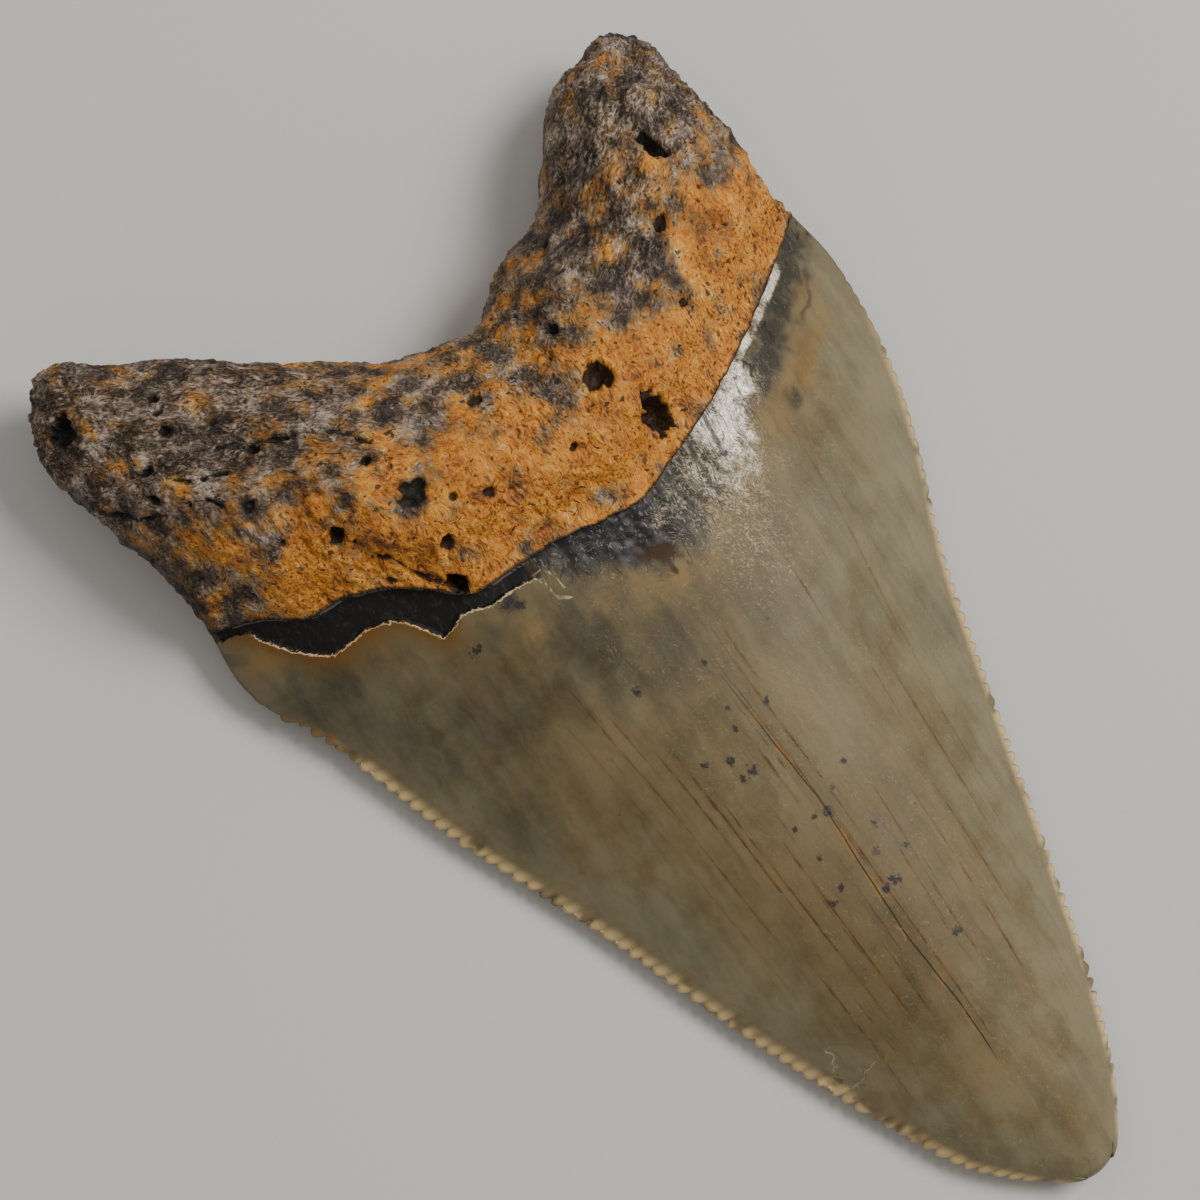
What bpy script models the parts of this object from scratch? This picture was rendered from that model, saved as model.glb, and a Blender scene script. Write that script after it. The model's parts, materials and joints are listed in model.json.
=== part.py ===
"""A fossil megalodon tooth, lying on its outer face with its inner face up.

Seen from above, the tip points along -Y and the root along +Y. The origin is on the
surface that the tooth lies on, under the middle of its bounding box.

The whole tooth is one skin. A point of it is named by s, which runs across from -1 at
the left edge to 1 at the right edge, and t, which runs up from 0 at the tip through 1
at the gum line to 2 at the top of the root. The upper and the lower face use the same
s and t and are joined along the edge.
"""

import math

import bmesh
import bpy
import numpy as np
from mathutils import Matrix, Vector, noise

MM = 0.001  # every size below is in millimetres

# Outline of the crown and the root, as X and Y
LEFT_EDGE = [(0.1, -35.9), (-1.8, -34.2), (-3.7, -32.0), (-6.1, -27.1), (-9.2, -19.1), (-12.9, -7.7),
             (-16.5, 2.2), (-18.6, 9.2), (-20.0, 12.3), (-20.9, 16.3), (-20.6, 19.3)]
RIGHT_EDGE = [(4.4, -35.8), (6.1, -33.5), (8.8, -28.0), (11.3, -20.8), (14.9, -9.8), (17.8, -1.5),
              (20.1, 3.4), (21.7, 8.0), (22.5, 12.6), (22.6, 15.9), (22.0, 19.0)]
LEFT_SIDE = [(-20.6, 19.3), (-21.0, 23.0), (-21.5, 25.8), (-22.4, 29.6), (-22.7, 31.7), (-22.4, 33.5),
             (-21.6, 35.2)]
RIGHT_SIDE = [(22.0, 19.0), (21.2, 20.4), (20.9, 22.6), (21.2, 25.1), (20.7, 28.6), (20.6, 31.2),
              (20.2, 32.9)]
GUM_LINE = [(-20.6, 19.3), (-18.2, 18.2), (-16.2, 16.6), (-14.3, 16.3), (-12.2, 15.4), (-9.9, 13.5),
            (-8.4, 12.1), (-6.4, 11.9), (-2.6, 11.6), (0.6, 10.9), (2.5, 10.7), (4.9, 11.4), (8.9, 12.7),
            (12.2, 14.1), (18.7, 17.3), (22.0, 19.0)]
ROOT_TOP = [(-21.6, 35.2), (-20.1, 36.6), (-18.5, 36.5), (-16.0, 34.6), (-13.1, 32.9), (-9.0, 29.6),
            (-5.5, 27.1), (-2.9, 25.5), (-0.5, 24.7), (1.9, 24.4), (3.2, 25.1), (5.3, 26.5), (7.4, 27.0),
            (9.3, 28.0), (11.7, 30.6), (14.3, 33.0), (16.1, 33.4), (17.8, 34.0), (19.1, 33.8), (20.2, 32.9)]
TIP_ROUNDING = 0.85       # how far the worn tip bulges past a straight end

# Heights above the surface the tooth lies on, each as t and height
EDGE_HEIGHT = [(0.0, 1.7), (0.15, 1.3), (0.4, 1.3), (0.7, 1.4), (0.85, 1.8), (0.93, 2.2), (1.0, 3.0),
               (1.06, 4.2), (1.14, 4.9), (1.3, 5.1), (1.6, 5.1), (2.0, 5.0)]
CROWN_CREST = [(0.0, 2.5), (0.1, 4.3), (0.3, 6.4), (0.5, 7.7), (0.7, 8.7), (0.85, 9.4), (1.0, 10.5)]
ROOT_CREST = [(1.0, 10.8), (1.2, 12.3), (1.35, 12.9), (1.6, 12.6), (1.85, 11.4), (2.0, 10.4)]
UNDERSIDE = [(0.0, 1.1), (0.12, 0.5), (0.3, 0.2), (0.45, 0.2), (0.75, 0.6), (1.0, 0.9), (1.3, 0.7),
             (2.0, 0.8)]
CREST_POWER = 2.1         # how full the crown is across, at the tip
CREST_POWER_GAIN = 0.6    # and how much fuller at the gum line
LOBE_DROP = 0.27          # how much lower the root is at its sides than in the middle
LOBE_POWER = 2.2          # how late across the root that drop sets in
UNDERSIDE_POWER = 3       # how flat the underside of the crown is across
UNDERSIDE_CHANGE = (0.95, 0.2)   # from which t, and over how much of it, the root's underside takes over
SIDE_ROUND = 5.0          # radius of the root's sides
TOP_ROUND = 5.5           # radius of the root's top
ROOT_RISE = 0.25          # part of t over which the root swells out of the crown
ROOT_LUMP = 0.45          # height of the root's lumps
LUMP_SIZE = 5.0           # and their width
LUMP_LAYERS = [(3.7, 1.0, 1.0), (9.1, 0.4, 0.4)]   # level of the noise, and parts of the height and the width

# The gum line and the dark band under it, where the enamel is thin or broken away
ROOT_STEP = 0.40          # the root stands this much proud of the crown
BAND_WIDTH = [(-21, 1.2), (-18.9, 1.2), (-17.8, 1.8), (-16.3, 2.2), (-14.0, 2.1), (-12.1, 2.1),
              (-10.9, 3.1), (-10.0, 2.2), (-8.7, 0.9), (-6.0, 0.9), (-4.0, 2.0), (-2.0, 2.7), (0.3, 3.8),
              (2.7, 4.4), (6.2, 4.0), (9.4, 3.3), (11.9, 2.6), (14.1, 1.9), (22.0, 1.8)]
BAND_DEPTH = [(-21, 0.05), (-18.5, 0.35), (-8.0, 0.35), (-4.0, 0.20), (12.0, 0.18), (22.0, 0.10)]
BAND_RAMP = 0.15          # width of the broken enamel's slope
BAND_END_POWER = 12       # how suddenly the band ends at the cutting edges
CROWN_RUN = 57            # how far one step of t is up the crown at its shoulders
GUM_SHOULDER = 19         # Y of the gum line at the shoulders

# Cutting edge
SERRATIONS = 64           # along each edge
SERRATED_PART = 0.96      # of t
SERRATION_DEPTH = 0.34    # from peak to valley
WORN_TIP = 0.06           # of t, over which the serrations grow from nothing
SHOULDER = (0.90, 0.06)   # from which t, and over how much of it, they fade out again
EDGE_STRIP = 1.1          # width of the strip that the serrations cut into
CHIPPED_EDGE = (0.80, 0.92, 0.35)   # left edge: from t, to t, and how deep

# Pits in the upper face: X, Y, length, width, depth, and the turn of the length from X
PITS = [(4.1, 17.7, 1.7, 1.6, 1.1, 0), (5.9, 13.9, 2.9, 1.5, 1.4, -78), (-8.8, 13.0, 1.2, 1.2, 1.6, 0),
        (-8.2, 18.5, 2.1, 1.4, 0.6, 10), (-12.8, 19.0, 0.9, 0.9, 0.9, 0), (15.3, 26.6, 2.0, 0.9, 0.9, -80),
        (-21.0, 33.0, 1.8, 1.4, 1.0, 60), (3.8, 21.4, 0.9, 0.8, 0.6, 0), (-2.1, 20.7, 0.9, 0.9, 0.5, 0),
        (-15.6, 30.8, 1.1, 0.9, 0.7, 30), (12.6, 22.5, 1.3, 0.8, 0.6, 40), (-4.7, 16.0, 1.0, 0.7, 0.5, -30)]
FLAKE = (-6.3, -22.6, 3.0, 2.6, 0.30)   # flake off the crown, near its left edge: X, Y, length, width, depth

# Spots that the tooth lies on, as X and Y
REST_SPOTS = [(-15.5, 28.5), (15.0, 28.0), (1.0, -14.0)]
REST_SPREAD = 3.2         # how wide the underside bulges at each
REST_SINK = 0.2           # how far the bulge would go below the surface before it is worn flat

# Fineness of the skin
COLUMNS = 26
CROWN_ROWS = 32           # below the band, each carrying two serrations on either edge
BAND_ROWS = 3
ROOT_ROWS = 12
GUM_GAP = 0.004           # of t, taken by the step at the gum line
CROWDING = 1.15           # how much closer together the columns are near the edges
BAND_PULL = 5             # how late up the crown the rows bend to follow the band's border
CUT_PER_ROW = 3           # cuts in the strip along the edge, four short faces for two serrations
ON_LINE = 0.9999          # of s or t, counted as being on the edge or on the gum line
PIT_LIFT = 0.1            # the balls that cut the pits stand this much above the surface

ENAMEL_COLOUR = (0.22, 0.20, 0.13, 1)
ROOT_COLOUR = (0.42, 0.19, 0.06, 1)
ENAMEL_ROUGHNESS = 0.35
ROOT_ROUGHNESS = 0.8


def smooth_line(points, place):
    """Read a smooth curve through (place, value, ...) points at the given places."""
    table = np.array(points, float)
    known, value = table[:, 0], table[:, 1:]
    slope = np.gradient(value, known, axis=0)
    i = np.clip(np.searchsorted(known, place) - 1, 0, len(known) - 2)
    step = (known[i + 1] - known[i])[:, None]
    f = np.clip((place - known[i])[:, None] / step, 0, 1)
    start = (1 + 2 * f) * (1 - f) ** 2 * value[i] + f * (1 - f) ** 2 * step * slope[i]
    end = f ** 2 * (3 - 2 * f) * value[i + 1] + f ** 2 * (f - 1) * step * slope[i + 1]
    return start + end


def along(points, part):
    """Read a smooth outline at a part, from 0 to 1, of its length."""
    outline = np.array(points, float)
    run = np.concatenate([[0], np.cumsum(np.linalg.norm(np.diff(outline, axis=0), axis=1))])
    return smooth_line(np.column_stack([run / run[-1], outline]), part)


def height(points, place):
    return smooth_line(points, place)[:, 0]


def read(points, place):
    """Read a line with corners through (place, value) points."""
    known, value = zip(*points)
    return np.interp(place, known, value)


def smooth_step(x):
    x = np.clip(x, 0, 1)
    return x * x * (3 - 2 * x)


def quarter_round(x):
    """Rise from 0 to 1 along a quarter circle as x goes from 0 to 1."""
    return np.sqrt(1 - (1 - np.clip(x, 0, 1)) ** 2)


def outline_ends(t):
    """The left and the right end of the row at t."""
    crown, root = np.clip(t, 0, 1), np.clip(t - 1, 0, 1)
    on_crown = (t <= 1)[:, None]
    left = np.where(on_crown, along(LEFT_EDGE, crown), along(LEFT_SIDE, root))
    right = np.where(on_crown, along(RIGHT_EDGE, crown), along(RIGHT_SIDE, root))
    return left, right


def off_chord(curve, s, t):
    """How far a curve drawn as Y over X lies above the straight row at t."""
    left, right = outline_ends(np.full_like(s, t))
    a = (s + 1) / 2
    x = (1 - a) * left[:, 0] + a * right[:, 0]
    chord = (1 - a) * left[:, 1] + a * right[:, 1]
    return smooth_line(curve, x)[:, 0] - chord


def plan(s, t):
    """Place of a point, seen from above."""
    left, right = outline_ends(t)
    a = ((s + 1) / 2)[:, None]
    place = (1 - a) * left + a * right
    crown, root = np.clip(t, 0, 1), np.clip(t - 1, 0, 1)
    gum, top = off_chord(GUM_LINE, s, 1.0), off_chord(ROOT_TOP, s, 2.0)
    place[:, 1] += crown ** 2 * (1 - root) * gum + root * top
    place[:, 1] -= TIP_ROUNDING * (1 - s * s) * (1 - crown) ** 8
    return place


def root_rounding(s, t):
    """1 on the broad of the root, falling to 0 round its sides and its top."""
    left, right = outline_ends(t)
    half_width = (right[:, 0] - left[:, 0]) / 2
    length = plan(s, np.full_like(t, 2.0))[:, 1] - plan(s, np.full_like(t, 1.0))[:, 1]
    side = quarter_round((1 - np.abs(s)) * half_width / SIDE_ROUND)
    top = quarter_round((2 - t) * length / TOP_ROUND)
    return side * top


def band_part(x):
    """How far down in t the dark band reaches from the gum line, at X."""
    run = CROWN_RUN + 2 * (smooth_line(GUM_LINE, x)[:, 0] - GUM_SHOULDER)
    return read(BAND_WIDTH, x) / run


def lumps(place):
    """Broad lumps with smaller ones on them."""
    return sum(np.array([high * noise.noise(Vector((x, y, level)) / (wide * LUMP_SIZE)) for x, y in place])
               for level, high, wide in LUMP_LAYERS)


def upper_height(s, t, place):
    edge = height(EDGE_HEIGHT, t)
    power = CREST_POWER + CREST_POWER_GAIN * np.clip(t, 0, 1) ** 4
    across = 1 - np.abs(s) ** power
    crown = edge + (height(CROWN_CREST, np.clip(t, 0, 1)) - edge) * across
    rounding = root_rounding(s, t)
    lobe = 1 - LOBE_DROP * np.abs(s) ** LOBE_POWER
    root = edge + (height(ROOT_CREST, np.clip(t, 1, 2)) * lobe - edge) * rounding
    root += ROOT_LUMP * lumps(place) * rounding
    swell = smooth_step((t - 1) / ROOT_RISE)
    step = ROOT_STEP * (t > 1) * (1 - swell) * across
    return (1 - swell) * crown + swell * root + step - band_dip(s, t, place)


def band_dip(s, t, place):
    """How far the band under the gum line lies below the enamel."""
    above_line = (t - 1 + band_part(place[:, 0])) * CROWN_RUN
    inside = smooth_step(above_line / BAND_RAMP) * (t <= 1)
    return read(BAND_DEPTH, place[:, 0]) * inside * (1 - np.abs(s) ** BAND_END_POWER)


def lower_height(s, t, place):
    edge = height(EDGE_HEIGHT, t)
    middle = height(UNDERSIDE, t)
    crown = middle + (edge - middle) * np.abs(s) ** UNDERSIDE_POWER
    root = edge + (middle - edge) * root_rounding(s, t)
    start, run = UNDERSIDE_CHANGE
    swell = smooth_step((t - start) / run)
    z = (1 - swell) * crown + swell * root
    for x, y in REST_SPOTS:
        away = np.hypot(place[:, 0] - x, place[:, 1] - y)
        z -= (z + REST_SINK) * np.exp(-(away / REST_SPREAD) ** 2 / 2)
    return z


def serration(s, t):
    """How far a point of the cutting edge moves outwards."""
    wave = -0.5 * SERRATION_DEPTH * np.cos(2 * math.pi * SERRATIONS * t / SERRATED_PART)
    fade_from, fade_over = SHOULDER
    whole = smooth_step(t / WORN_TIP) * (1 - smooth_step((t - fade_from) / fade_over))
    start, end, depth = CHIPPED_EDGE
    chip = (s < 0) * np.sin(np.clip((t - start) / (end - start), 0, 1) * math.pi) * depth
    on_edge = (np.abs(s) > ON_LINE) & (t <= SERRATED_PART)
    return on_edge * (wave * whole - chip)


def skin(s, t, side):
    """Points of the tooth's skin; side is 1 on the upper face, -1 below and 0 on the edge."""
    place = plan(s, t)
    z = np.where(side > 0, upper_height(s, t, place), lower_height(s, t, place))
    z = np.where(side == 0, height(EDGE_HEIGHT, t), z)
    place[:, 0] += np.sign(s) * serration(s, t)
    return np.column_stack([place, z])


def column_places():
    """Even steps across, pushed a little closer together near the edges."""
    inner = np.linspace(-1, 1, COLUMNS - 1)
    return np.sin(inner * CROWDING) / math.sin(CROWDING)


def grid_place(column, row):
    """The s and t of a crossing of the skin's grid."""
    crown_end = CROWN_ROWS + BAND_ROWS
    if row <= CROWN_ROWS:
        t = SERRATED_PART * row / CROWN_ROWS
    elif row <= crown_end:
        t = SERRATED_PART + (1 - SERRATED_PART) * (row - CROWN_ROWS) / BAND_ROWS
    else:
        t = 1 + max((row - crown_end - 1) / (ROOT_ROWS - 1), GUM_GAP)
    if column in (0, COLUMNS):
        return -1.0 if column == 0 else 1.0, float(t)
    left, right = outline_ends(np.array([float(t)]))
    inset = 1 - EDGE_STRIP / ((right[0, 0] - left[0, 0]) / 2)
    s = column_places()[column - 1] * inset
    x = plan(np.array([s]), np.array([1.0]))[0, 0]
    band_start = 1 - band_part(np.array([x]))[0]
    if t <= SERRATED_PART:
        t += (band_start - SERRATED_PART) * (t / SERRATED_PART) ** BAND_PULL
    elif row <= crown_end:
        steps = [BAND_RAMP / CROWN_RUN, 0.5 * (1 - band_start), 1 - band_start]
        t = band_start + steps[row - CROWN_ROWS - 1]
    return float(s), float(t)


def flat_skin():
    """Both faces of the skin, still flat: X holds s, Y holds t and Z holds the side."""
    rows = CROWN_ROWS + BAND_ROWS + ROOT_ROWS
    bm = bmesh.new()
    bmesh.ops.create_grid(bm, x_segments=COLUMNS, y_segments=rows, size=1)
    for vert in bm.verts:
        column = round((vert.co.x + 1) / 2 * COLUMNS)
        row = round((vert.co.y + 1) / 2 * rows)
        s, t = grid_place(column, row)
        vert.co = (s, t, 1)
    refine_cutting_edges(bm)
    copy = bmesh.ops.duplicate(bm, geom=bm.verts[:] + bm.edges[:] + bm.faces[:])["geom"]
    bmesh.ops.reverse_faces(bm, faces=[part for part in copy if isinstance(part, bmesh.types.BMFace)])
    for vert in copy:
        if isinstance(vert, bmesh.types.BMVert):
            vert.co.z = -1
    for vert in bm.verts:
        if vert.is_boundary:
            vert.co.z = 0
    bmesh.ops.remove_doubles(bm, verts=bm.verts, dist=1e-6)
    refine_root(bm)
    return bm


def refine_cutting_edges(bm):
    """Cut the strip along each edge of the crown fine enough for the serrations."""
    column = {vert: index % (COLUMNS + 1) for index, vert in enumerate(bm.verts)}
    row = {vert: index // (COLUMNS + 1) for index, vert in enumerate(bm.verts)}
    chosen = []
    for edge in bm.edges:
        a, b = edge.verts
        in_strip = column[a] == column[b] and column[a] in (0, 1, COLUMNS - 1, COLUMNS)
        if in_strip and max(row[a], row[b]) <= CROWN_ROWS:
            chosen.append(edge)
    bmesh.ops.subdivide_edges(bm, edges=chosen, cuts=CUT_PER_ROW, use_grid_fill=True)


def refine_root(bm):
    """Halve the mesh of the root's upper face."""
    chosen = [e for e in bm.edges if all(v.co.y > ON_LINE and v.co.z > -0.5 for v in e.verts)]
    bmesh.ops.subdivide_edges(bm, edges=chosen, cuts=1, use_grid_fill=True)


def paint_root(bm):
    """Give the root's faces the second material, while Y is still t."""
    for face in bm.faces:
        face.material_index = int(face.calc_center_median().y > 1)


def shape_skin(bm):
    """Bend the flat skin into the tooth."""
    flat = np.array([vert.co for vert in bm.verts])
    points = skin(flat[:, 0], flat[:, 1], np.sign(flat[:, 2]))
    for vert, point in zip(bm.verts, points):
        vert.co = Vector(point) * MM


def wear_flat(bm):
    """Cut the bulges of the underside off level, so that the tooth lies on three flat spots."""
    everything = bm.verts[:] + bm.edges[:] + bm.faces[:]
    bmesh.ops.bisect_plane(bm, geom=everything, dist=1e-7, plane_co=(0, 0, 0), plane_no=(0, 0, -1),
                           clear_outer=True)
    bmesh.ops.holes_fill(bm, edges=[edge for edge in bm.edges if edge.is_boundary], sides=0)


def material(name, colour, roughness):
    made = bpy.data.materials.new(name)
    made.use_nodes = True
    shader = made.node_tree.nodes["Principled BSDF"]
    shader.inputs["Base Color"].default_value = colour
    shader.inputs["Roughness"].default_value = roughness
    shader.inputs["Metallic"].default_value = 0
    return made


def surface_height(x, y):
    """Height of the upper face over a place, found by trying s and t on a grid of them."""
    s, t = np.meshgrid(np.linspace(-0.98, 0.98, 60), np.linspace(0.1, 1.98, 120))
    s, t = s.ravel(), t.ravel()
    points = skin(s, t, np.ones_like(s))
    return points[np.argmin(np.hypot(points[:, 0] - x, points[:, 1] - y)), 2]


def pit_cutter():
    """One mesh of flattened balls, each half sunk in the upper face where a pit is."""
    bm = bmesh.new()
    for x, y, length, width, depth, turn in PITS:
        size = Matrix.Diagonal((length / 2 * MM, width / 2 * MM, depth * MM, 1))
        place = Matrix.Translation(Vector((x, y, surface_height(x, y) + PIT_LIFT)) * MM)
        bmesh.ops.create_icosphere(bm, subdivisions=2, radius=1,
                                   matrix=place @ Matrix.Rotation(math.radians(turn), 4, "Z") @ size)
    x, y, length, width, depth = FLAKE
    size = Matrix.Diagonal((length / 2 * MM, width / 2 * MM, depth * MM, 1))
    place = Matrix.Translation(Vector((x, y, surface_height(x, y))) * MM)
    bmesh.ops.create_icosphere(bm, subdivisions=2, radius=1, matrix=place @ size)
    mesh = bpy.data.meshes.new("pit_cutter")
    bm.to_mesh(mesh)
    bm.free()
    cutter = bpy.data.objects.new("pit_cutter", mesh)
    bpy.context.collection.objects.link(cutter)
    cutter.hide_render = True
    cutter.display_type = "WIRE"
    return cutter


def make_tooth():
    bm = flat_skin()
    paint_root(bm)
    shape_skin(bm)
    wear_flat(bm)
    bmesh.ops.triangulate(bm, faces=bm.faces, quad_method="SHORT_EDGE")
    mesh = bpy.data.meshes.new("tooth")
    bm.to_mesh(mesh)
    bm.free()
    mesh.materials.append(material("tooth_enamel", ENAMEL_COLOUR, ENAMEL_ROUGHNESS))
    mesh.materials.append(material("tooth_root", ROOT_COLOUR, ROOT_ROUGHNESS))
    mesh.shade_smooth()
    mesh.set_sharp_from_angle(angle=math.radians(40))
    tooth = bpy.data.objects.new("tooth", mesh)
    bpy.context.collection.objects.link(tooth)
    pits = tooth.modifiers.new("pits", "BOOLEAN")
    pits.operation = "DIFFERENCE"
    pits.solver = "EXACT"
    pits.object = pit_cutter()
    return tooth


def clear_scene():
    for thing in list(bpy.data.objects):
        bpy.data.objects.remove(thing)


clear_scene()
make_tooth()
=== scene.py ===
# %% [markdown]
# This lesson dresses one object: a fossil megalodon tooth, lying on its flat outer face. The plain
# solid comes from the frame, and this file grows a finer skin over the same outline, gives it the
# relief of enamel, bone and serrations, and then colours it. Sizes are in millimetres until the
# last step, because a tooth is easier to think about that way.

# %% Load the frame
import json
import math

import bmesh
import bpy
import numpy as np
from mathutils import Matrix, Vector, noise

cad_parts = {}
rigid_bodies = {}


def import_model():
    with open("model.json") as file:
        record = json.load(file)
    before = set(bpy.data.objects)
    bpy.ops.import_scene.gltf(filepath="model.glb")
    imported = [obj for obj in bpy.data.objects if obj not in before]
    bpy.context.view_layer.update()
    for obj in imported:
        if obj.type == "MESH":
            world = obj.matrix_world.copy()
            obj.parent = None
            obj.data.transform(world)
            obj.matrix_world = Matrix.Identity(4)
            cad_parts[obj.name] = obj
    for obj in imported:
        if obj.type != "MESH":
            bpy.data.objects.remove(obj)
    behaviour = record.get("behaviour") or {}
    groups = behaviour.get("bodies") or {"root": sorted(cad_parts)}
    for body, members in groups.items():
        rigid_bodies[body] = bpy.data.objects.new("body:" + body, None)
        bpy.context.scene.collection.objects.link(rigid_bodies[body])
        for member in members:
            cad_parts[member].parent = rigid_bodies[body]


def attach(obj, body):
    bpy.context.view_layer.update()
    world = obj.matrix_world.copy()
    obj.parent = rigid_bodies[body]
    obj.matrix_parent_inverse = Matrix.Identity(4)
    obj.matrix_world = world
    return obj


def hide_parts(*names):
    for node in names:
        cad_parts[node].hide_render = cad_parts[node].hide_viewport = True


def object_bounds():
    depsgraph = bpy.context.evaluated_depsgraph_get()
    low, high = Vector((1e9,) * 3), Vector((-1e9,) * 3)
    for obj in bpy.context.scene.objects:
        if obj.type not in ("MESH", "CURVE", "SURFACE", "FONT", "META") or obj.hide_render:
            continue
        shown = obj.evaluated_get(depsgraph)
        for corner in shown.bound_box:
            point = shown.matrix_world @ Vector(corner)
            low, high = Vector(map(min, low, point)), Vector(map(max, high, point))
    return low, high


for thing in list(bpy.data.objects):
    bpy.data.objects.remove(thing)
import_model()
cad_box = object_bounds()
MM = 0.001
print("the plain tooth spans", cad_box)

# %% [markdown]
# The real tooth is one piece, so it is one skin. Every point of that skin gets an address: s runs
# across from -1 at the left edge to 1 at the right edge, and t runs up from 0 at the tip, through
# 1 at the gum line, to 2 at the top of the root. The outline is drawn with a few points, as if with
# a pencil, and a smooth curve is read through them.

# %% Outline
LEFT_EDGE = [
    (0.1, -35.9), (-1.8, -34.2), (-3.7, -32), (-6.1, -27.1), (-9.2, -19.1), (-12.9, -7.7), (-16.5, 2.2),
    (-18.6, 9.2), (-20, 12.3), (-20.9, 16.3), (-20.6, 19.3)]
RIGHT_EDGE = [
    (4.4, -35.8), (6.1, -33.5), (8.8, -28), (11.3, -20.8), (14.9, -9.8), (17.8, -1.5), (20.1, 3.4),
    (21.7, 8), (22.5, 12.6), (22.6, 15.9), (22, 19)]
LEFT_SIDE = [
    (-20.6, 19.3), (-21, 23), (-21.5, 25.8), (-22.4, 29.6), (-22.7, 31.7), (-22.4, 33.5), (-21.6, 35.2)]
RIGHT_SIDE = [
    (22, 19), (21.2, 20.4), (20.9, 22.6), (21.2, 25.1), (20.7, 28.6), (20.6, 31.2), (20.2, 32.9)]
GUM_LINE = [
    (-20.6, 19.3), (-18.2, 18.2), (-16.2, 16.6), (-14.3, 16.3), (-12.2, 15.4), (-9.9, 13.5), (-8.4, 12.1),
    (-6.4, 11.9), (-2.6, 11.6), (0.6, 10.9), (2.5, 10.7), (4.9, 11.4), (8.9, 12.7), (12.2, 14.1),
    (18.7, 17.3), (22, 19)]
ROOT_TOP = [
    (-21.6, 35.2), (-20.1, 36.6), (-18.5, 36.5), (-16, 34.6), (-13.1, 32.9), (-9, 29.6), (-5.5, 27.1),
    (-2.9, 25.5), (-0.5, 24.7), (1.9, 24.4), (3.2, 25.1), (5.3, 26.5), (7.4, 27), (9.3, 28), (11.7, 30.6),
    (14.3, 33), (16.1, 33.4), (17.8, 34), (19.1, 33.8), (20.2, 32.9)]
TIP_ROUNDING = 0.85


def smooth_line(points, place):
    """Read a smooth curve through (place, value, ...) points at the given places."""
    table = np.array(points, float)
    known, value = table[:, 0], table[:, 1:]
    slope = np.gradient(value, known, axis=0)
    i = np.clip(np.searchsorted(known, place) - 1, 0, len(known) - 2)
    step = (known[i + 1] - known[i])[:, None]
    f = np.clip((place - known[i])[:, None] / step, 0, 1)
    start = (1 + 2 * f) * (1 - f) ** 2 * value[i] + f * (1 - f) ** 2 * step * slope[i]
    end = f ** 2 * (3 - 2 * f) * value[i + 1] + f ** 2 * (f - 1) * step * slope[i + 1]
    return start + end


def along(points, part):
    """Read a smooth outline at a part, from 0 to 1, of its length."""
    outline = np.array(points, float)
    run = np.concatenate([[0], np.cumsum(np.linalg.norm(np.diff(outline, axis=0), axis=1))])
    return smooth_line(np.column_stack([run / run[-1], outline]), part)


def height(points, place):
    """Read a smooth curve through (place, value) points."""
    return smooth_line(points, place)[:, 0]


def read(points, place):
    """Read a line with corners through (place, value) points."""
    known, value = zip(*points)
    return np.interp(place, known, value)


def smooth_step(x):
    x = np.clip(x, 0, 1)
    return x * x * (3 - 2 * x)


def outline_ends(t):
    """The left and the right end of the row at t."""
    crown, root = np.clip(t, 0, 1), np.clip(t - 1, 0, 1)
    on_crown = (t <= 1)[:, None]
    left = np.where(on_crown, along(LEFT_EDGE, crown), along(LEFT_SIDE, root))
    right = np.where(on_crown, along(RIGHT_EDGE, crown), along(RIGHT_SIDE, root))
    return left, right


def off_chord(curve, s, t):
    """How far a curve drawn as Y over X lies above the straight row at t."""
    left, right = outline_ends(np.full_like(s, t))
    a = (s + 1) / 2
    x = (1 - a) * left[:, 0] + a * right[:, 0]
    return height(curve, x) - (1 - a) * left[:, 1] - a * right[:, 1]


def plan(s, t):
    """Place of a point, seen from above."""
    left, right = outline_ends(t)
    a = ((s + 1) / 2)[:, None]
    place = (1 - a) * left + a * right
    crown, root = np.clip(t, 0, 1), np.clip(t - 1, 0, 1)
    gum, top = off_chord(GUM_LINE, s, 1.0), off_chord(ROOT_TOP, s, 2.0)
    place[:, 1] += crown ** 2 * (1 - root) * gum + root * top
    place[:, 1] -= TIP_ROUNDING * (1 - s * s) * (1 - crown) ** 8
    return place


middle = plan(np.zeros(3), np.array([0.0, 1.0, 2.0]))
print("tip, gum line and notch of the root on the middle line:", middle.round(1).tolist())

# %% [markdown]
# A tooth seen from the side is a thin wedge: the crown swells from a thin tip to the gum line, and
# the root swells on from there and is rounded off at its lobes. Each of those profiles is a short
# list of heights, and the cross-section is a formula. The underside is nearly flat and touches the
# table in three small spots, which are left exactly as the solid has them.

# %% Heights
EDGE_HEIGHT = [
    (0, 1.7), (0.15, 1.3), (0.4, 1.3), (0.7, 1.4), (0.85, 1.8), (0.93, 2.2), (1, 3), (1.06, 4.2),
    (1.14, 4.9), (1.3, 5.1), (1.6, 5.1), (2, 5)]
CROWN_CREST = [(0, 2.5), (0.1, 4.3), (0.3, 6.4), (0.5, 7.7), (0.7, 8.7), (0.85, 9.4), (1, 10.5)]
ROOT_CREST = [(1, 10.8), (1.2, 12.3), (1.35, 12.9), (1.6, 12.6), (1.85, 11.4), (2, 10.4)]
UNDERSIDE = [
    (0, 1.1), (0.12, 0.5), (0.3, 0.2), (0.45, 0.2), (0.75, 0.6), (1, 0.9), (1.3, 0.7), (2, 0.8)]
CREST_POWER = 2.1
CREST_POWER_GAIN = 0.6
LOBE_DROP = 0.27
SIDE_ROUND = 5.0
TOP_ROUND = 5.5
ROOT_RISE = 0.25
ROOT_LUMP = 0.45
LUMP_SIZE = 5.0
ROOT_STEP = 0.4
REST_SPOTS = [(-15.5, 28.5), (15, 28), (1, -14)]
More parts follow.
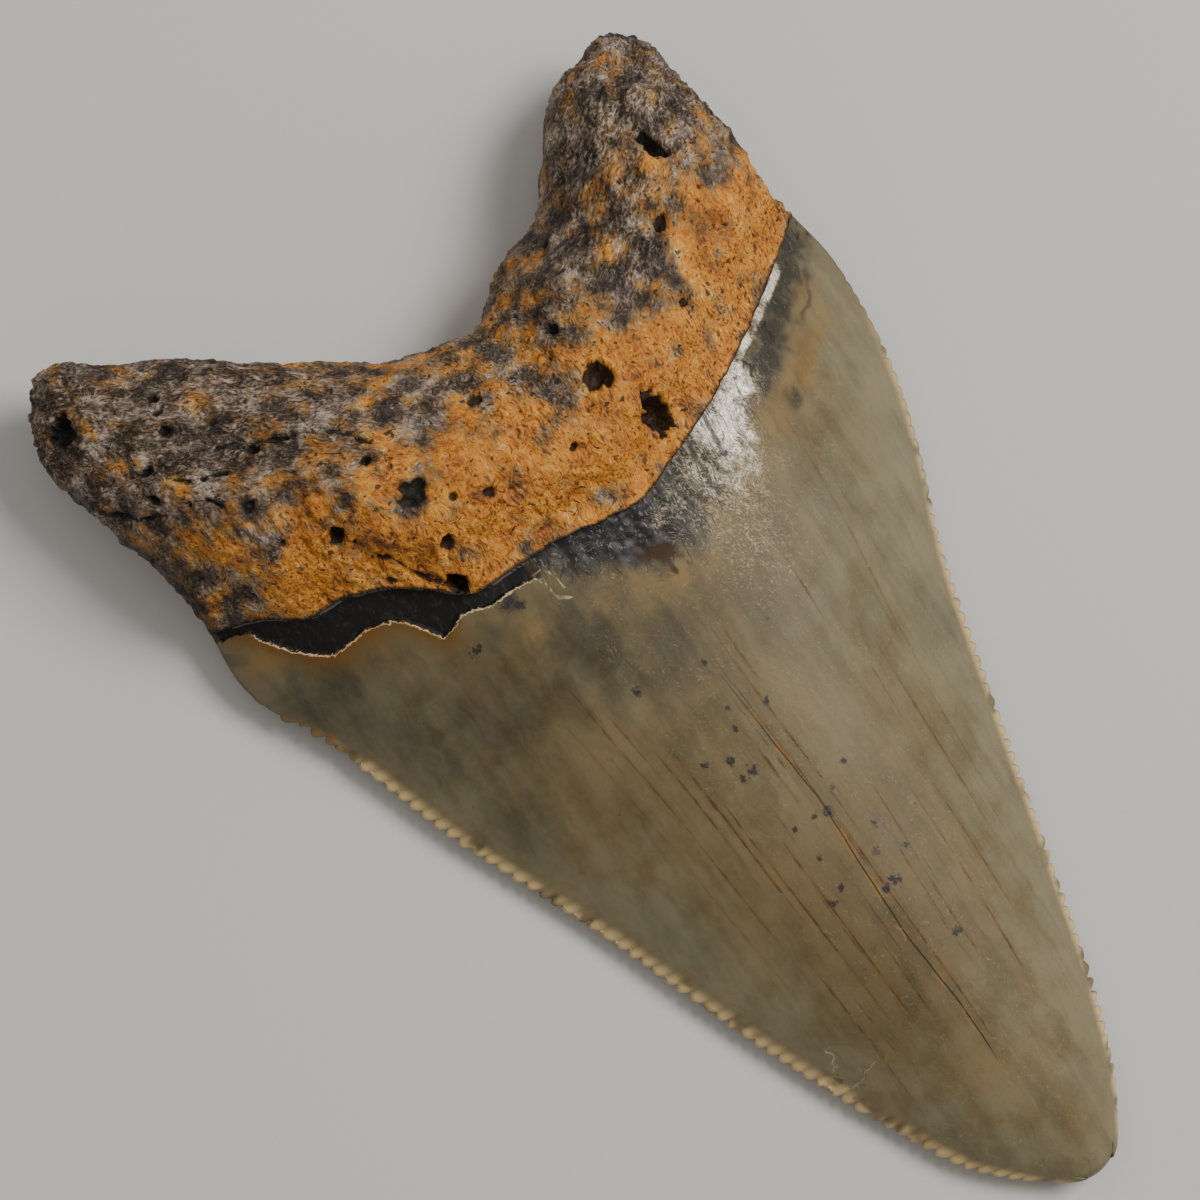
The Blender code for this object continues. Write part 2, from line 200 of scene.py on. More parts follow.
REST_SPREAD = 3.2
REST_SINK = 0.2


def quarter_round(x):
    """Rise from 0 to 1 along a quarter circle as x goes from 0 to 1."""
    return np.sqrt(1 - (1 - np.clip(x, 0, 1)) ** 2)


def root_rounding(s, t):
    """1 on the broad of the root, falling to 0 round its sides and its top."""
    left, right = outline_ends(t)
    half_width = (right[:, 0] - left[:, 0]) / 2
    length = plan(s, np.full_like(t, 2.0))[:, 1] - plan(s, np.full_like(t, 1.0))[:, 1]
    side = quarter_round((1 - np.abs(s)) * half_width / SIDE_ROUND)
    top = quarter_round((2 - t) * length / TOP_ROUND)
    return side * top


def grain(points, size, seed=0.0):
    """Smooth noise about zero, with features about size across; size may be one number per axis."""
    spots = points / np.array(size, float) + seed
    return np.array([noise.noise(spot) for spot in spots.tolist()])


def level(place, z):
    return np.column_stack([place, np.full(len(place), z)])


def upper_height(s, t, place):
    edge = height(EDGE_HEIGHT, t)
    power = CREST_POWER + CREST_POWER_GAIN * np.clip(t, 0, 1) ** 4
    across = 1 - np.abs(s) ** power
    crown = edge + (height(CROWN_CREST, np.clip(t, 0, 1)) - edge) * across
    rounding = root_rounding(s, t)
    lobe = 1 - LOBE_DROP * np.abs(s) ** 2.2
    lumps = grain(level(place, 3.7), LUMP_SIZE) + 0.4 * grain(level(place, 9.1), 0.4 * LUMP_SIZE)
    root = edge + (height(ROOT_CREST, np.clip(t, 1, 2)) * lobe - edge) * rounding
    root += ROOT_LUMP * lumps * rounding
    swell = smooth_step((t - 1) / ROOT_RISE)
    step = ROOT_STEP * (t > 1) * (1 - swell) * across
    return (1 - swell) * crown + swell * root + step


def lower_height(s, t, place):
    edge = height(EDGE_HEIGHT, t)
    middle = height(UNDERSIDE, t)
    crown = middle + (edge - middle) * np.abs(s) ** 3
    root = edge + (middle - edge) * root_rounding(s, t)
    swell = smooth_step((t - 0.95) / 0.2)
    z = (1 - swell) * crown + swell * root
    for x, y in REST_SPOTS:
        away = np.hypot(place[:, 0] - x, place[:, 1] - y)
        z -= (z + REST_SINK) * np.exp(-(away / REST_SPREAD) ** 2 / 2)
    return np.maximum(z, 0)


# %% [markdown]
# Under the gum line runs the bourlette, a dark band where the enamel is thin. On the left the enamel
# has chipped away from it, which leaves a ragged step. The band's width is the only thing needed to
# place it, so it is one line of widths over X.

# %% Band under the gum line
BAND_WIDTH = [
    (-21, 0.55), (-19, 0.55), (-18.7, 1.2), (-17.8, 1.9), (-17, 2.1), (-16.3, 2.3), (-14.9, 2.2), (-14, 2),
    (-12.6, 1.9), (-12.1, 2.1), (-11.5, 2.6), (-10.9, 3.2), (-10.2, 2.4), (-9.4, 1.3), (-8.7, 0.9),
    (-6, 0.9), (-4.8, 1.2), (-4, 2), (-2, 2.7), (0.3, 3.8), (2.7, 4.4), (6.2, 4), (9.4, 3.3), (11.9, 2.6),
    (14.1, 1.9), (22, 1.8)]
CROWN_RUN = 57  # how far one step of t is up the crown at its shoulders
GUM_SHOULDER = 19  # Y of the gum line at the shoulders


def run_at_gum(x):
    """How many millimetres one step of t is, just under the gum line."""
    return CROWN_RUN + 2 * (height(GUM_LINE, x) - GUM_SHOULDER)


def band_reach(x):
    """How far down in t the band reaches from the gum line, at X."""
    return read(BAND_WIDTH, x) / run_at_gum(x)


print("the band is", read(BAND_WIDTH, 2.7), "mm wide at its widest")

# %% [markdown]
# The skin starts as a flat grid, because Blender's grid operator already gives tidy rows and
# columns. Its X and Y are not a place yet but the address s and t, and its Z says which face a point
# is on: 1 above, -1 below, 0 on the rim that both share. Working flat makes it easy to cut the mesh
# finer only where the tooth has fine detail: the root, the band under the gum line, the serrated
# edges and one flake.

# %% Flat skin
COLUMNS = 38  # the first and the last are the serrated strips
CROWN_ROWS = 64  # one for each serration
BAND_ROWS = 4
ROOT_ROWS = 16
SERRATED_PART = 0.96
EDGE_STRIP = 1.2
GUM_GAP = 0.004
FINE = 7  # cuts that make eight small faces along each old one
BAND_MARGIN = 0.015  # of t, kept fine below the band
FLAKE = (-6.2, -22.6, 2.8, 2.1, 0.22, 0.75)  # X, Y, length, width, depth and turn


def row_place(row):
    """Where the rows go: even on the crown, a few under the gum line, then the root."""
    crown = SERRATED_PART * row / CROWN_ROWS
    band = SERRATED_PART + (1 - SERRATED_PART) * (row - CROWN_ROWS) / BAND_ROWS
    part = (row - CROWN_ROWS - BAND_ROWS - 1) / (ROOT_ROWS - 1)
    root = 1 + np.maximum(GUM_GAP, 0.45 * part + 0.55 * np.sin(part * math.pi / 2))
    return np.where(row <= CROWN_ROWS, crown, np.where(row <= CROWN_ROWS + BAND_ROWS, band, root))


def column_place(column, t):
    """Where the columns go: even across the crown, but crowded towards the rim on the rounded root."""
    left, right = outline_ends(t)
    inset = 1 - EDGE_STRIP / ((right[:, 0] - left[:, 0]) / 2)
    crown = np.sin(1.1 * (2 * (column - 1) / (COLUMNS - 2) - 1)) / math.sin(1.1) * inset
    whole = 2 * column / COLUMNS - 1
    root = 0.35 * whole + 0.65 * np.sin(whole * math.pi / 2)
    blend = smooth_step((t - 1) / 0.15)
    inner = (1 - blend) * crown + blend * root
    return np.where(column == 0, -1, np.where(column == COLUMNS, 1, inner))


def lay_grid(bm):
    rows = CROWN_ROWS + BAND_ROWS + ROOT_ROWS
    bmesh.ops.create_grid(bm, x_segments=COLUMNS, y_segments=rows, size=1)
    corners = np.array([vert.co for vert in bm.verts])
    column = np.round((corners[:, 0] + 1) / 2 * COLUMNS)
    t = row_place(np.round((corners[:, 1] + 1) / 2 * rows))
    for vert, address in zip(bm.verts, np.column_stack([column_place(column, t), t, np.ones(len(t))])):
        vert.co = address


def add_underside(bm):
    copy = bmesh.ops.duplicate(bm, geom=bm.verts[:] + bm.edges[:] + bm.faces[:])["geom"]
    bmesh.ops.reverse_faces(bm, faces=[part for part in copy if isinstance(part, bmesh.types.BMFace)])
    for vert in copy:
        if isinstance(vert, bmesh.types.BMVert):
            vert.co.z = -1
    for vert in bm.verts:
        if vert.is_boundary:
            vert.co.z = 0
    bmesh.ops.remove_doubles(bm, verts=bm.verts, dist=1e-6)


def cut_finer(bm, wanted, cuts):
    """Cut every face that wanted picks, given the middles' s and t and which are on the upper face."""
    faces = [face for face in bm.faces if len(face.verts) == 4]
    middles = np.array([face.calc_center_median() for face in faces])
    picked = wanted(middles[:, 0], middles[:, 1], middles[:, 2] > 0)
    edges = {edge for face, pick in zip(faces, picked) if pick for edge in face.edges}
    bmesh.ops.subdivide_edges(bm, edges=list(edges), cuts=cuts, use_grid_fill=True)


def in_strip(s, t):
    return (np.abs(s) > column_place(COLUMNS - 1, t)) & (t < SERRATED_PART)


def near_flake(s, t):
    place = plan(s, t)
    return np.hypot(place[:, 0] - FLAKE[0], place[:, 1] - FLAKE[1]) < FLAKE[2] / 2 + 0.6


def near_band(s, t):
    return t > 1 - band_reach(plan(s, np.ones(len(s)))[:, 0]) - BAND_MARGIN


skin = bmesh.new()
lay_grid(skin)
add_underside(skin)
cut_finer(skin, lambda s, t, upper: in_strip(s, t) | (upper & near_band(s, t)), FINE)
cut_finer(skin, lambda s, t, upper: ~upper & (t > 1), 3)
cut_finer(skin, lambda s, t, upper: upper & near_flake(s, t) & ~in_strip(s, t), FINE)
cut_finer(skin, lambda s, t, upper: upper & ~near_band(s, t) & ~in_strip(s, t) & ~near_flake(s, t), 1)
print("the flat skin has", sum(len(face.verts) - 2 for face in skin.faces), "triangles")

# %% [markdown]
# Now the flat skin is bent into the tooth. Blender only needs one pass over the points, but the
# formulas run on whole arrays, which is fast. The arrays are kept, because the relief and the
# colours later ask for each point's address again.

# %% Bend the skin
address = np.array([vert.co for vert in skin.verts])
s, t, side = address[:, 0], address[:, 1], np.sign(address[:, 2])
place = plan(s, t)
along_x = level(place, 0) * [1, 0, 1]
raggedness = 0.1 * grain(along_x, 0.9) + 0.05 * grain(along_x, 0.3)
place[:, 1] += raggedness * np.exp(-np.abs(t - 1) * 20) * (1 - np.abs(s) ** 8)
z = np.where(side > 0, upper_height(s, t, place), lower_height(s, t, place))
z = np.where(side == 0, height(EDGE_HEIGHT, t), z)
points = np.column_stack([place, z])


def set_points(bm, where):
    for vert, point in zip(bm.verts, where * MM):
        vert.co = point


def outward(bm):
    bm.normal_update()
    return np.array([vert.normal for vert in bm.verts])


def only(mask, values):
    """The values on the points of the mask, and 0 on all others."""
    every = np.zeros(len(mask))
    every[mask] = values
    return every


def turned_by(dx, dy, turn):
    """The same offsets, measured along a direction at an angle to X, and across it."""
    return dx * math.cos(turn) + dy * math.sin(turn), dy * math.cos(turn) - dx * math.sin(turn)


set_points(skin, points)
print("the bent skin spans", points.min(axis=0).round(2), points.max(axis=0).round(2))

# %% [markdown]
# Distances make the best masks. For every point this cell works out how far it is from the gum line,
# from the lower border of the band, from the cutting edge and from lines that were placed one by one:
# the long crack, the cracks of the root, the creases of the band, a forked scratch and the border of a
# stain. A distance changes smoothly from point to point, so a material can cut it off as sharply as it
# likes, finer than the mesh itself.

# %% Distances
LONG_CRACK = [
    (2, 0.1), (-0.1, 0.3), (-4.8, 0.55), (-9.3, 0.75), (-13.7, 0.5), (-18, 0.35), (-21.5, 0.5), (-25.4, 0.6),
    (-27, 0.5)]
CRACK_STRENGTH = [(-28, 0), (-26, 0.8), (-16, 1), (-10, 0.7), (-6, 0.8), (-1, 0.5), (1.5, 0)]
ROOT_CRACKS = [
    [(-16.5, 27.8), (-14.9, 26.8), (-13.3, 25.9), (-11.3, 24.8), (-9.5, 23.8), (-8.2, 22.2)],
    [(-12.2, 18.1), (-11.3, 16.6), (-10.3, 15), (-9.2, 13.3)],
    [(-21.6, 27.6), (-20.9, 26.9), (-20.2, 26.1), (-19.5, 25.8)],
    [(-18.3, 25.5), (-17.5, 24.9), (-16.6, 24.1)], [(-17.9, 26.7), (-16.7, 25.9), (-15.5, 25.5)]]
CREASES = [
    [(6.7, 11.6), (6.5, 10), (6.5, 8.3)], [(1.4, 10.3), (1.7, 8.7), (1.7, 7.7), (1.8, 6.2)],
    [(4.3, 11.2), (4.6, 9.9), (4.7, 8.5)], [(8.4, 12.3), (8.3, 11.1), (8.1, 9.8)]]
FORK = [
    [(-7.1, 11.3), (-5.9, 11.1), (-5, 10.9), (-4.6, 11)],
    [(-4.3, 11.3), (-4.2, 9.9), (-4, 8.3)], [(-5.1, 10.9), (-4.8, 9.9), (-4.5, 8.6)]]
STAIN_BORDER = [
    (20, 15.7), (19.3, 14.4), (18.8, 13.9), (18, 13.8), (17, 12.7), (16.2, 12.3), (15.3, 12.1), (14.3, 11.8)]
BAND_DIP = [(-21, 0.3), (-8, 0.3), (-4, 0.16), (12, 0.14), (22, 0.08)]
ROOT_RUN = 14  # how far one step of t is up the root
FAR_OFF = 9  # the root's own value, well past every mask that the band uses

upper, root_part = side > 0, t > 1
left_end, right_end = outline_ends(t)
half_width = (right_end[:, 0] - left_end[:, 0]) / 2
x, y = place[:, 0], place[:, 1]
from_gum = (t - 1) * np.where(root_part, ROOT_RUN, run_at_gum(x))
in_band = read(BAND_WIDTH, x) - np.abs(from_gum)
in_band += 0.1 * grain(level(place, 0), 0.45) + 0.06 * grain(level(place, 5), 0.2)
in_band = np.where(root_part, FAR_OFF, in_band)
from_edge = (1 - np.abs(s)) * half_width
crack_line = sorted(LONG_CRACK)
from_crack = x - height(crack_line, y) + 0.06 * grain(level(place, 2), 1.6)
warp = [0.9 * grain(level(place, z), 1.3) + 0.45 * grain(level(place, z), 0.45) for z in (11, 17)]
warped = place + np.column_stack(warp)
wandering = place + 0.3 * np.column_stack(warp)


def off_lines(lines):
    """How far each point is from the nearest of some lines, which wander a little."""
    nearest = np.full(len(x), np.inf)
    for line in lines:
        for start, end in zip(line[:-1], line[1:]):
            a, b = np.array(start), np.array(end)
            part = np.clip(((wandering - a) @ (b - a)) / ((b - a) @ (b - a)), 0, 1)
            nearest = np.minimum(nearest, np.linalg.norm(wandering - a - part[:, None] * (b - a), axis=1))
    return nearest


off_root_crack = off_lines(ROOT_CRACKS)
print("points on the root:", int(root_part.sum()), "and in the band:", int((in_band > 0).sum()))

# %% [markdown]
# A megalodon's cutting edge is a row of fine beads. Each bead bulges outwards and is a little thicker
# than the gap beside it, and the gap runs a short way up the face as a groove. The beads follow one
# wave along t, upset by noise so that no two are the same, and the edge is chipped near the left
# shoulder.

# %% Serrations
SERRATIONS = 64
SERRATION_DEPTH = 0.5
GROOVE_REACH = (1.2, 0.7)  # how far the grooves run in from the left and the right edge
CHIPPED_EDGE = (0.8, 0.92, 0.35)  # from and to, in t, and how deep
GROOVE_DEPTH = 0.17
BEAD_SWELL = 0.06  # how much thicker a bead is than the edge

one_side = np.sign(s)
# Noise along the edge: t * 60 is about millimetres, and 7 keeps the two sides apart.
edge_point = np.column_stack([t * 60, one_side * 7, np.zeros_like(t)])
phase = 2 * math.pi * SERRATIONS * t / SERRATED_PART + 1.7 * grain(edge_point, 2.1)
bead = np.abs(np.sin(phase / 2)) ** 0.6
bead_size = 0.75 + 0.7 * grain(edge_point, 1.3, 4)
worn = smooth_step(t / 0.07) * (1 - smooth_step((t - 0.88) / 0.08))
worn *= np.where(s > 0, 1 - 0.55 * smooth_step((t - 0.55) / 0.2), 1)
reach = np.where(s < 0, GROOVE_REACH[0], GROOVE_REACH[1])
fade = smooth_step(1 - from_edge / reach)
start, end, chip_depth = CHIPPED_EDGE
chipped = (s < 0) * np.sin(np.clip((t - start) / (end - start), 0, 1) * math.pi)
chip_noise = grain(edge_point, 1.1, 9) + 0.6 * grain(edge_point, 0.45, 3)
bulge = (bead - 0.75) * SERRATION_DEPTH * bead_size * worn * np.exp(-from_edge / 0.4)
bulge -= chipped * (chip_depth + 0.45 * chip_noise) * np.exp(-from_edge / 0.7)
across = (right_end - left_end) / np.linalg.norm(right_end - left_end, axis=1)[:, None]
points[:, :2] += across * (one_side * bulge * (t < SERRATED_PART))[:, None]
groove = (1 - bead) * worn * fade * (0.5 + 0.5 * smooth_step(0.5 + grain(edge_point, 3, 1)))
points[:, 2] -= side * GROOVE_DEPTH * groove
points[:, 2] += side * BEAD_SWELL * bead * worn * np.exp(-(from_edge / 0.35) ** 2)
set_points(skin, points)
print("the deepest groove goes", round(float(groove.max()) * GROOVE_DEPTH, 3), "mm into the face")

# %% [markdown]
# The root is old bone. It has long fibres, fine pores and a few deep holes where vessels went in.
# Fibres are noise that is stretched along the fibre: up towards the root near the gum line, and
# along the arm in each lobe. Pores are cells: each cell of a Voronoi pattern may hold one pore, and
# the cell's own random number says how big it is. The larger pits are placed one by one.

# %% Relief of the root
LEFT_ARM = math.radians(145)
RIGHT_ARM = math.radians(42)
PAST_GUM = 1.0005  # t from which a point belongs to the bone
LOT_SPREAD = 91  # sets the random numbers of neighbouring cells apart
REST_KEPT = (2.0, 2.5)  # how far round a rest spot stays flat, and how far the relief takes to return
# Each pit: X, Y, length, width, depth and turn in degrees.
PITS = [
    (4.1, 17.7, 1.8, 1.6, 1.1, 0), (5.9, 13.9, 2.9, 1.6, 1.3, -78), (-8.8, 13, 1.2, 1.2, 1.6, 0),
    (-8.2, 18.5, 2.2, 1.5, 0.45, 10), (-12.8, 19, 0.9, 0.9, 0.9, 0), (15.3, 26.6, 2.2, 0.9, 0.9, -80),
    (-21, 33, 1.8, 1.4, 1, 60), (3.8, 21.4, 0.9, 0.8, 0.6, 0), (-2.1, 20.7, 0.9, 0.9, 0.5, 0),
    (-16, 31.4, 0.8, 0.7, 0.7, 30), (12.6, 22.5, 1.3, 0.8, 0.6, 40), (-4.7, 16, 1, 0.7, 0.5, -30),
    (-16.7, 29.4, 0.7, 0.6, 0.6, 0), (-13.6, 25.6, 0.8, 0.5, 0.6, -30), (-18.9, 28.2, 0.8, 0.6, 0.5, 0),
    (-9.1, 21.4, 0.8, 0.7, 0.6, 0), (-15.6, 23.2, 0.9, 0.6, 0.5, 20), (-8.1, 15, 1.2, 0.8, 0.6, -20),
    (0.6, 15.2, 0.7, 0.5, 0.5, 40), (10.9, 18.1, 0.8, 0.6, 0.5, 0)]


def fibres(turn, where):
    """Noise stretched along a direction that is turned by so much from X."""
    turned = np.column_stack([*turned_by(where[:, 0], where[:, 1], turn), where[:, 2]])
    return grain(turned, (2.6, 0.42, 1.2)) + 0.6 * grain(turned, (1.1, 0.2, 0.6), 8)


def pores(where, spacing, smallest, largest, share, seed):
    """How deep, from 0 to 1, each point lies in a pore."""
    depth = []
    for spot in (where / spacing + seed).tolist():
        gaps, centres = noise.voronoi(spot)
        lot = 0.5 + 0.5 * noise.cell(centres[0] * LOT_SPREAD)
        radius = (smallest + (largest - smallest) * lot / share) / spacing if lot < share else 0
        depth.append(max(0.0, 1 - gaps[0] / radius) if radius else 0.0)
    return smooth_step(np.array(depth) * 1.6)


def pit_depth(x0, y0, length, width, depth, turn):
    """A hole with a steep, uneven wall at a place on the upper face."""
    u, v = turned_by(bone[:, 0] - x0, bone[:, 1] - y0, math.radians(turn))
    away = np.hypot(u / (length / 2), v / (width / 2)) + 0.5 * rough + 0.35 * finest
    return depth * smooth_step((1.15 - away) / 0.6) * (1 + 0.8 * rough)


bony = t > PAST_GUM
bone = points[bony]
arm = smooth_step((t[bony] - 1.2) / 0.35) * smooth_step((np.abs(bone[:, 0] - 1) - 2) / 7)
turn_left = smooth_step((1 - bone[:, 0]) / 4)
along_arm = turn_left * fibres(LEFT_ARM, bone) + (1 - turn_left) * fibres(RIGHT_ARM, bone)
fibre = arm * along_arm + (1 - arm) * fibres(math.pi / 2, bone)
rough = grain(bone, 0.55)
finest = grain(bone, 0.3, 15)
broad = grain(bone, 1.9, 5)
relief = 0.22 * broad + 0.12 * rough + 0.06 * finest - 0.34 * np.abs(fibre) + 0.06
small = pores(bone, 0.85, 0.1, 0.24, 0.8, 3)
large = pores(bone, 2.4, 0.2, 0.45, 0.55, 11)
hole = 0.22 * small + 0.42 * large
above = upper[bony]
for pit in PITS:
    hole = np.maximum(hole, pit_depth(*pit) * above)
split = smooth_step(1 - off_root_crack[bony] / 0.28) * above
hole = np.maximum(hole, (0.24 + 0.8 * rough) * split)
rim_calm = 1 - 0.6 * np.exp(-(t[bony] - 1) * ROOT_RUN / 0.25)
depth_here = only(bony, (relief - hole) * rim_calm)
cavity = only(bony, hole + 0.5 * np.maximum(0, -relief))
keep_flat = np.ones(len(points))
for spot_x, spot_y in REST_SPOTS:
    away = np.hypot(x - spot_x, y - spot_y)
    back = smooth_step((away - REST_KEPT[0]) / REST_KEPT[1])
    keep_flat = np.minimum(keep_flat, np.where(side < 0, back, 1))
print("the root's relief runs from", depth_here.min().round(2), "to", depth_here.max().round(2), "mm")

# %% [markdown]
# The crown is smooth by comparison. The relief here is the step down into the chipped band, the fine
# wrinkles that cross the rest of the band, and a shallow flake near the left edge. The long crack is
# too thin for the mesh, so it is left to the material. Everything is then pushed out or in along the
# skin's own normals.

# %% Relief of the crown
CHIP_END = -4.5  # X where the broken enamel ends and the whole bourlette begins

crown = ~root_part & upper
broken = smooth_step((CHIP_END - x) / 0.8)
band_here = smooth_step(in_band / 0.14) * crown
depth_here += only(crown, 0.06 * grain(points[crown], 5))
depth_here -= read(BAND_DIP, x) * np.where(broken > 0.5, band_here, smooth_step(in_band / 2.5) * crown)
banded = band_here > 0
there = points[banded]
wrinkle = -0.13 * np.abs(grain(there, (0.9, 3.6, 3.6))) - 0.06 * np.abs(grain(there, (0.3, 1.3, 1.3), 4))
wrinkle = only(banded, wrinkle + 0.04 * grain(there, 0.4, 7) + 0.03)
depth_here += wrinkle * smooth_step(in_band / 1.5) * crown * (1 - 0.4 * broken)
flake_x, flake_y, flake_long, flake_wide, flake_deep, flake_turn = FLAKE
flake_u, flake_v = turned_by(warped[:, 0] - flake_x, warped[:, 1] - flake_y, flake_turn)
flake_away = np.maximum(np.abs(flake_u) / flake_long, np.abs(flake_v) / flake_wide) * 2
flake = smooth_step((1.1 - flake_away) / 0.2) * crown
depth_here -= flake_deep * flake * np.clip(0.5 - 0.5 * flake_u, 0.2, 1)
points += outward(skin) * (depth_here * keep_flat)[:, None]
lowest, highest = np.array(cad_box) / MM
points = np.clip(points, lowest, highest)
set_points(skin, points)
print("with all relief the skin spans", points.min(axis=0).round(2), points.max(axis=0).round(2))

# %% [markdown]
# Stains are painted with blobs, and so are a painted silver highlight on the band and some painted
# light and shade on the root: each blob is a place, a radius and a strength, and together they make a
# soft field. The material later breaks up the field's edge with noise, so the blobs themselves never
# show. The painted sheen runs on as a strip along the gum line. Everything measured so far is stored on
# the mesh as named layers. So is noise with several sizes of detail, which is cheaper to make here than
# in the material, and so is a bent copy of each point's place, which keeps patterns from looking straight.

# %% Stains and layers
OCHRE_END = -8.5  # X where the ochre under the chipped band ends
STRIP_FROM = 9.5  # the painted sheen strip: its two ends, as X, and its width
STRIP_TO = 19.4
STRIP_WIDTH = 0.75
# Each blob: X, Y, radius and strength.
STAINS = {
    "grey": [
        (-18.2, 12.2, 2.4, 1), (-15.6, 8.8, 3, 0.55), (-11.6, 6.4, 3, 0.55), (-7, 5, 2.2, 0.5),
        (-5.8, 7.4, 1.7, 0.5), (-4.6, 6, 2.2, 1), (-2.2, 3.4, 2.2, 0.7), (-13, 2, 3, 0.35),
        (5, 2.5, 1.8, 0.4), (8.5, 6, 2, 0.35), (16, -6.5, 2.2, 0.25), (0.5, -21, 3, 0.25)],
    "dark": [
        (20.6, 18, 1.2, 1.2), (18.8, 16.4, 1.2, 1), (16.9, 15, 1.1, 1), (15.2, 13.9, 1, 1),
        (13.7, 13, 0.9, 1), (12.8, 11.8, 0.8, 0.9), (13.8, 10.2, 0.45, 0.8), (-3.6, 9.3, 0.7, 0.6),
        (-8.6, 9.6, 0.8, 0.5), (-6.9, 10.6, 0.6, 0.7)],
    "rust": [
        (1.6, 7.5, 0.75, 1), (0.7, 8.2, 0.6, 0.8)],
    "ochre": [
        (19.3, 15, 0.9, 0.8), (18.8, 13.6, 1, 0.8), (17.6, 12.5, 0.9, 0.9), (16.8, 11.9, 0.8, 0.8),
        (15.3, 11.2, 0.9, 0.9), (14.4, 10.9, 0.9, 0.7), (-19.3, 16.5, 1.2, 0.9), (12.9, 9.9, 1.5, 0.6),
        (15.6, 10.4, 1.5, 0.5), (1.8, 6.1, 0.6, 1), (1, 5.6, 1.3, 0.6), (-0.7, 6.9, 1, 0.5),
        (3, 5.6, 0.9, 0.6), (-7.2, 8.6, 0.9, 0.5), (-3, 7.6, 0.8, 0.4)],
    "brown": [
        (-8.4, -4.1, 3.6, 0.22), (-6.3, -8.4, 3.6, 0.25), (-1.5, -18.9, 3.4, 0.6), (2.2, -33, 2, 0.5),
        (7, 4.5, 2, 0.35), (-2.5, -13, 3, 0.5), (2.6, -12, 2.4, 0.5), (-11, 1, 3, 0.3)],
    "pale": [
        (17.5, 1, 3.6, 0.9), (13, 1, 4, 1.1), (13, -6, 3.5, 0.8), (9, -1, 3.6, 0.6), (4, -7, 3, 0.3),
        (8.5, -14, 3, 0.5), (18.5, 8.5, 3, 0.6), (-9, 1.6, 2.6, 0.3), (6, -24, 3, 0.4), (-8, -17, 3, 0.3),
        (2.5, -31.5, 2.8, 0.5), (-9, -8, 3.2, 0.45), (-15, 8.5, 3, 0.4)],
    # The silver patch on the band: partly its own gloss, partly a painted highlight.
    "painted_sheen": [
        (11.2, 12.7, 1, 1), (10.2, 12.2, 1.3, 1), (9.3, 10.8, 1.3, 1), (8.2, 11.6, 1.2, 0.9),
        (7.3, 8.9, 1.3, 0.7), (8.8, 8.9, 1.3, 0.78), (7.4, 7.5, 1.6, 0.55), (4.6, 9.5, 1.2, 0.4),
        (6.4, 10.4, 1.2, 0.55), (2.5, 9.1, 0.5, 0.5), (5.4, 8.1, 1.5, 0.45), (6.7, 5.8, 2.3, 0.38)],
    # root_dark: dark crust, and painted shade along the lower left edge of the root.
    "root_dark": [
        (10.9, 22, 2.2, 1), (7, 21, 1.8, 0.9), (12.3, 30.5, 3, 0.6), (17.5, 29.7, 3, 0.6),
        (-4.2, 22, 2.4, 0.8), (-10.5, 25.4, 3, 0.7), (4.7, 23.4, 2, 0.8), (0.4, 19.9, 1.8, 0.5),
        (-16.5, 27.5, 4.5, 0.8), (-19.5, 24, 2.5, 0.9), (-8.2, 18.5, 1.2, 0.8), (7.8, 25, 1.6, 0.5),
        (-12.4, 20.5, 1, 0.9), (-15.6, 20, 0.8, 0.7), (-17.7, 17.6, 1, 0.9), (-12.7, 27.4, 1.2, 0.8),
        (16.5, 24.5, 2, 0.4), (-12, 30, 3, 0.6), (-17.8, 20.2, 1.3, 0.6), (-20, 20.5, 2, 1)],
    # root_bright: bone clear of crust, partly painted light where the relief leaves the bone in shade.
    "root_bright": [
        (16.7, 19.3, 2.6, 1), (10.9, 16.4, 2.6, 1), (-6.1, 16, 3, 1.2), (0.8, 14.6, 3, 1),
        (-13.5, 17.6, 2.4, 1.1), (-9.6, 15.5, 2.6, 1.3), (6, 15.6, 2.4, 0.9), (-21.6, 31, 2, 0.2),
        (19, 22, 1.6, 0.6), (-5, 19.4, 1.4, 0.5), (13.6, 20.4, 1.5, 0.5), (-13.7, 24.7, 0.6, 0.8),
        (-16, 28.6, 0.8, 0.5), (-19.9, 20.7, 1.2, 0.4), (-17, 21.9, 1.3, 0.4), (-10.9, 27, 0.8, 0.5)],
}
# Each speck: X, Y and radius.
SPECKS = [
    (0.1, 1.2, 0.3), (1.6, -2.6, 0.28), (-0.4, -1.6, 0.22), (-0.8, -2.8, 0.3), (-2.1, -4.1, 0.36),
    (-1.4, -5.2, 0.46), (-2, -5.3, 0.34), (-3.4, -3.4, 0.28), (0.8, -9.8, 0.36), (0, -9.5, 0.24),
    (2.6, -11.9, 0.28), (3.2, -8, 0.26), (1.7, -13.2, 0.32), (1.6, -15.2, 0.52), (0.9, -15.2, 0.34),
    (3.4, -14, 0.24), (2.9, -19.8, 0.38), (-1.1, -13.7, 0.26), (-2, -14.1, 0.3), (-1.4, -9.4, 0.2),
    (-1.1, -11.5, 0.28), (1.8, -8.8, 0.22), (-4.1, 2.2, 0.34), (-10, 9.5, 0.45), (-7.1, 10.5, 0.55),
    (-6.6, 10.1, 0.4), (-7.2, -22.9, 0.45)]


def stain(blobs):
    """A soft field that is about 1 at the middle of each blob, with its outline warped by noise."""
    field = np.zeros(len(x))
    for blob_x, blob_y, radius, strength in blobs:
        spread = min(radius, 1.5)
        away_x, away_y = x + warp[0] * spread - blob_x, y + warp[1] * spread - blob_y
        field = np.maximum(field, strength * np.exp(-(away_x ** 2 + away_y ** 2) / radius ** 2 / 2))
    return field


def layered(where, size, seed):
    """Noise with three sizes of detail, each half as large and half as strong as the one before."""
    return sum(grain(where, np.array(size) / 2 ** step, seed + step) / 2 ** step for step in range(3))


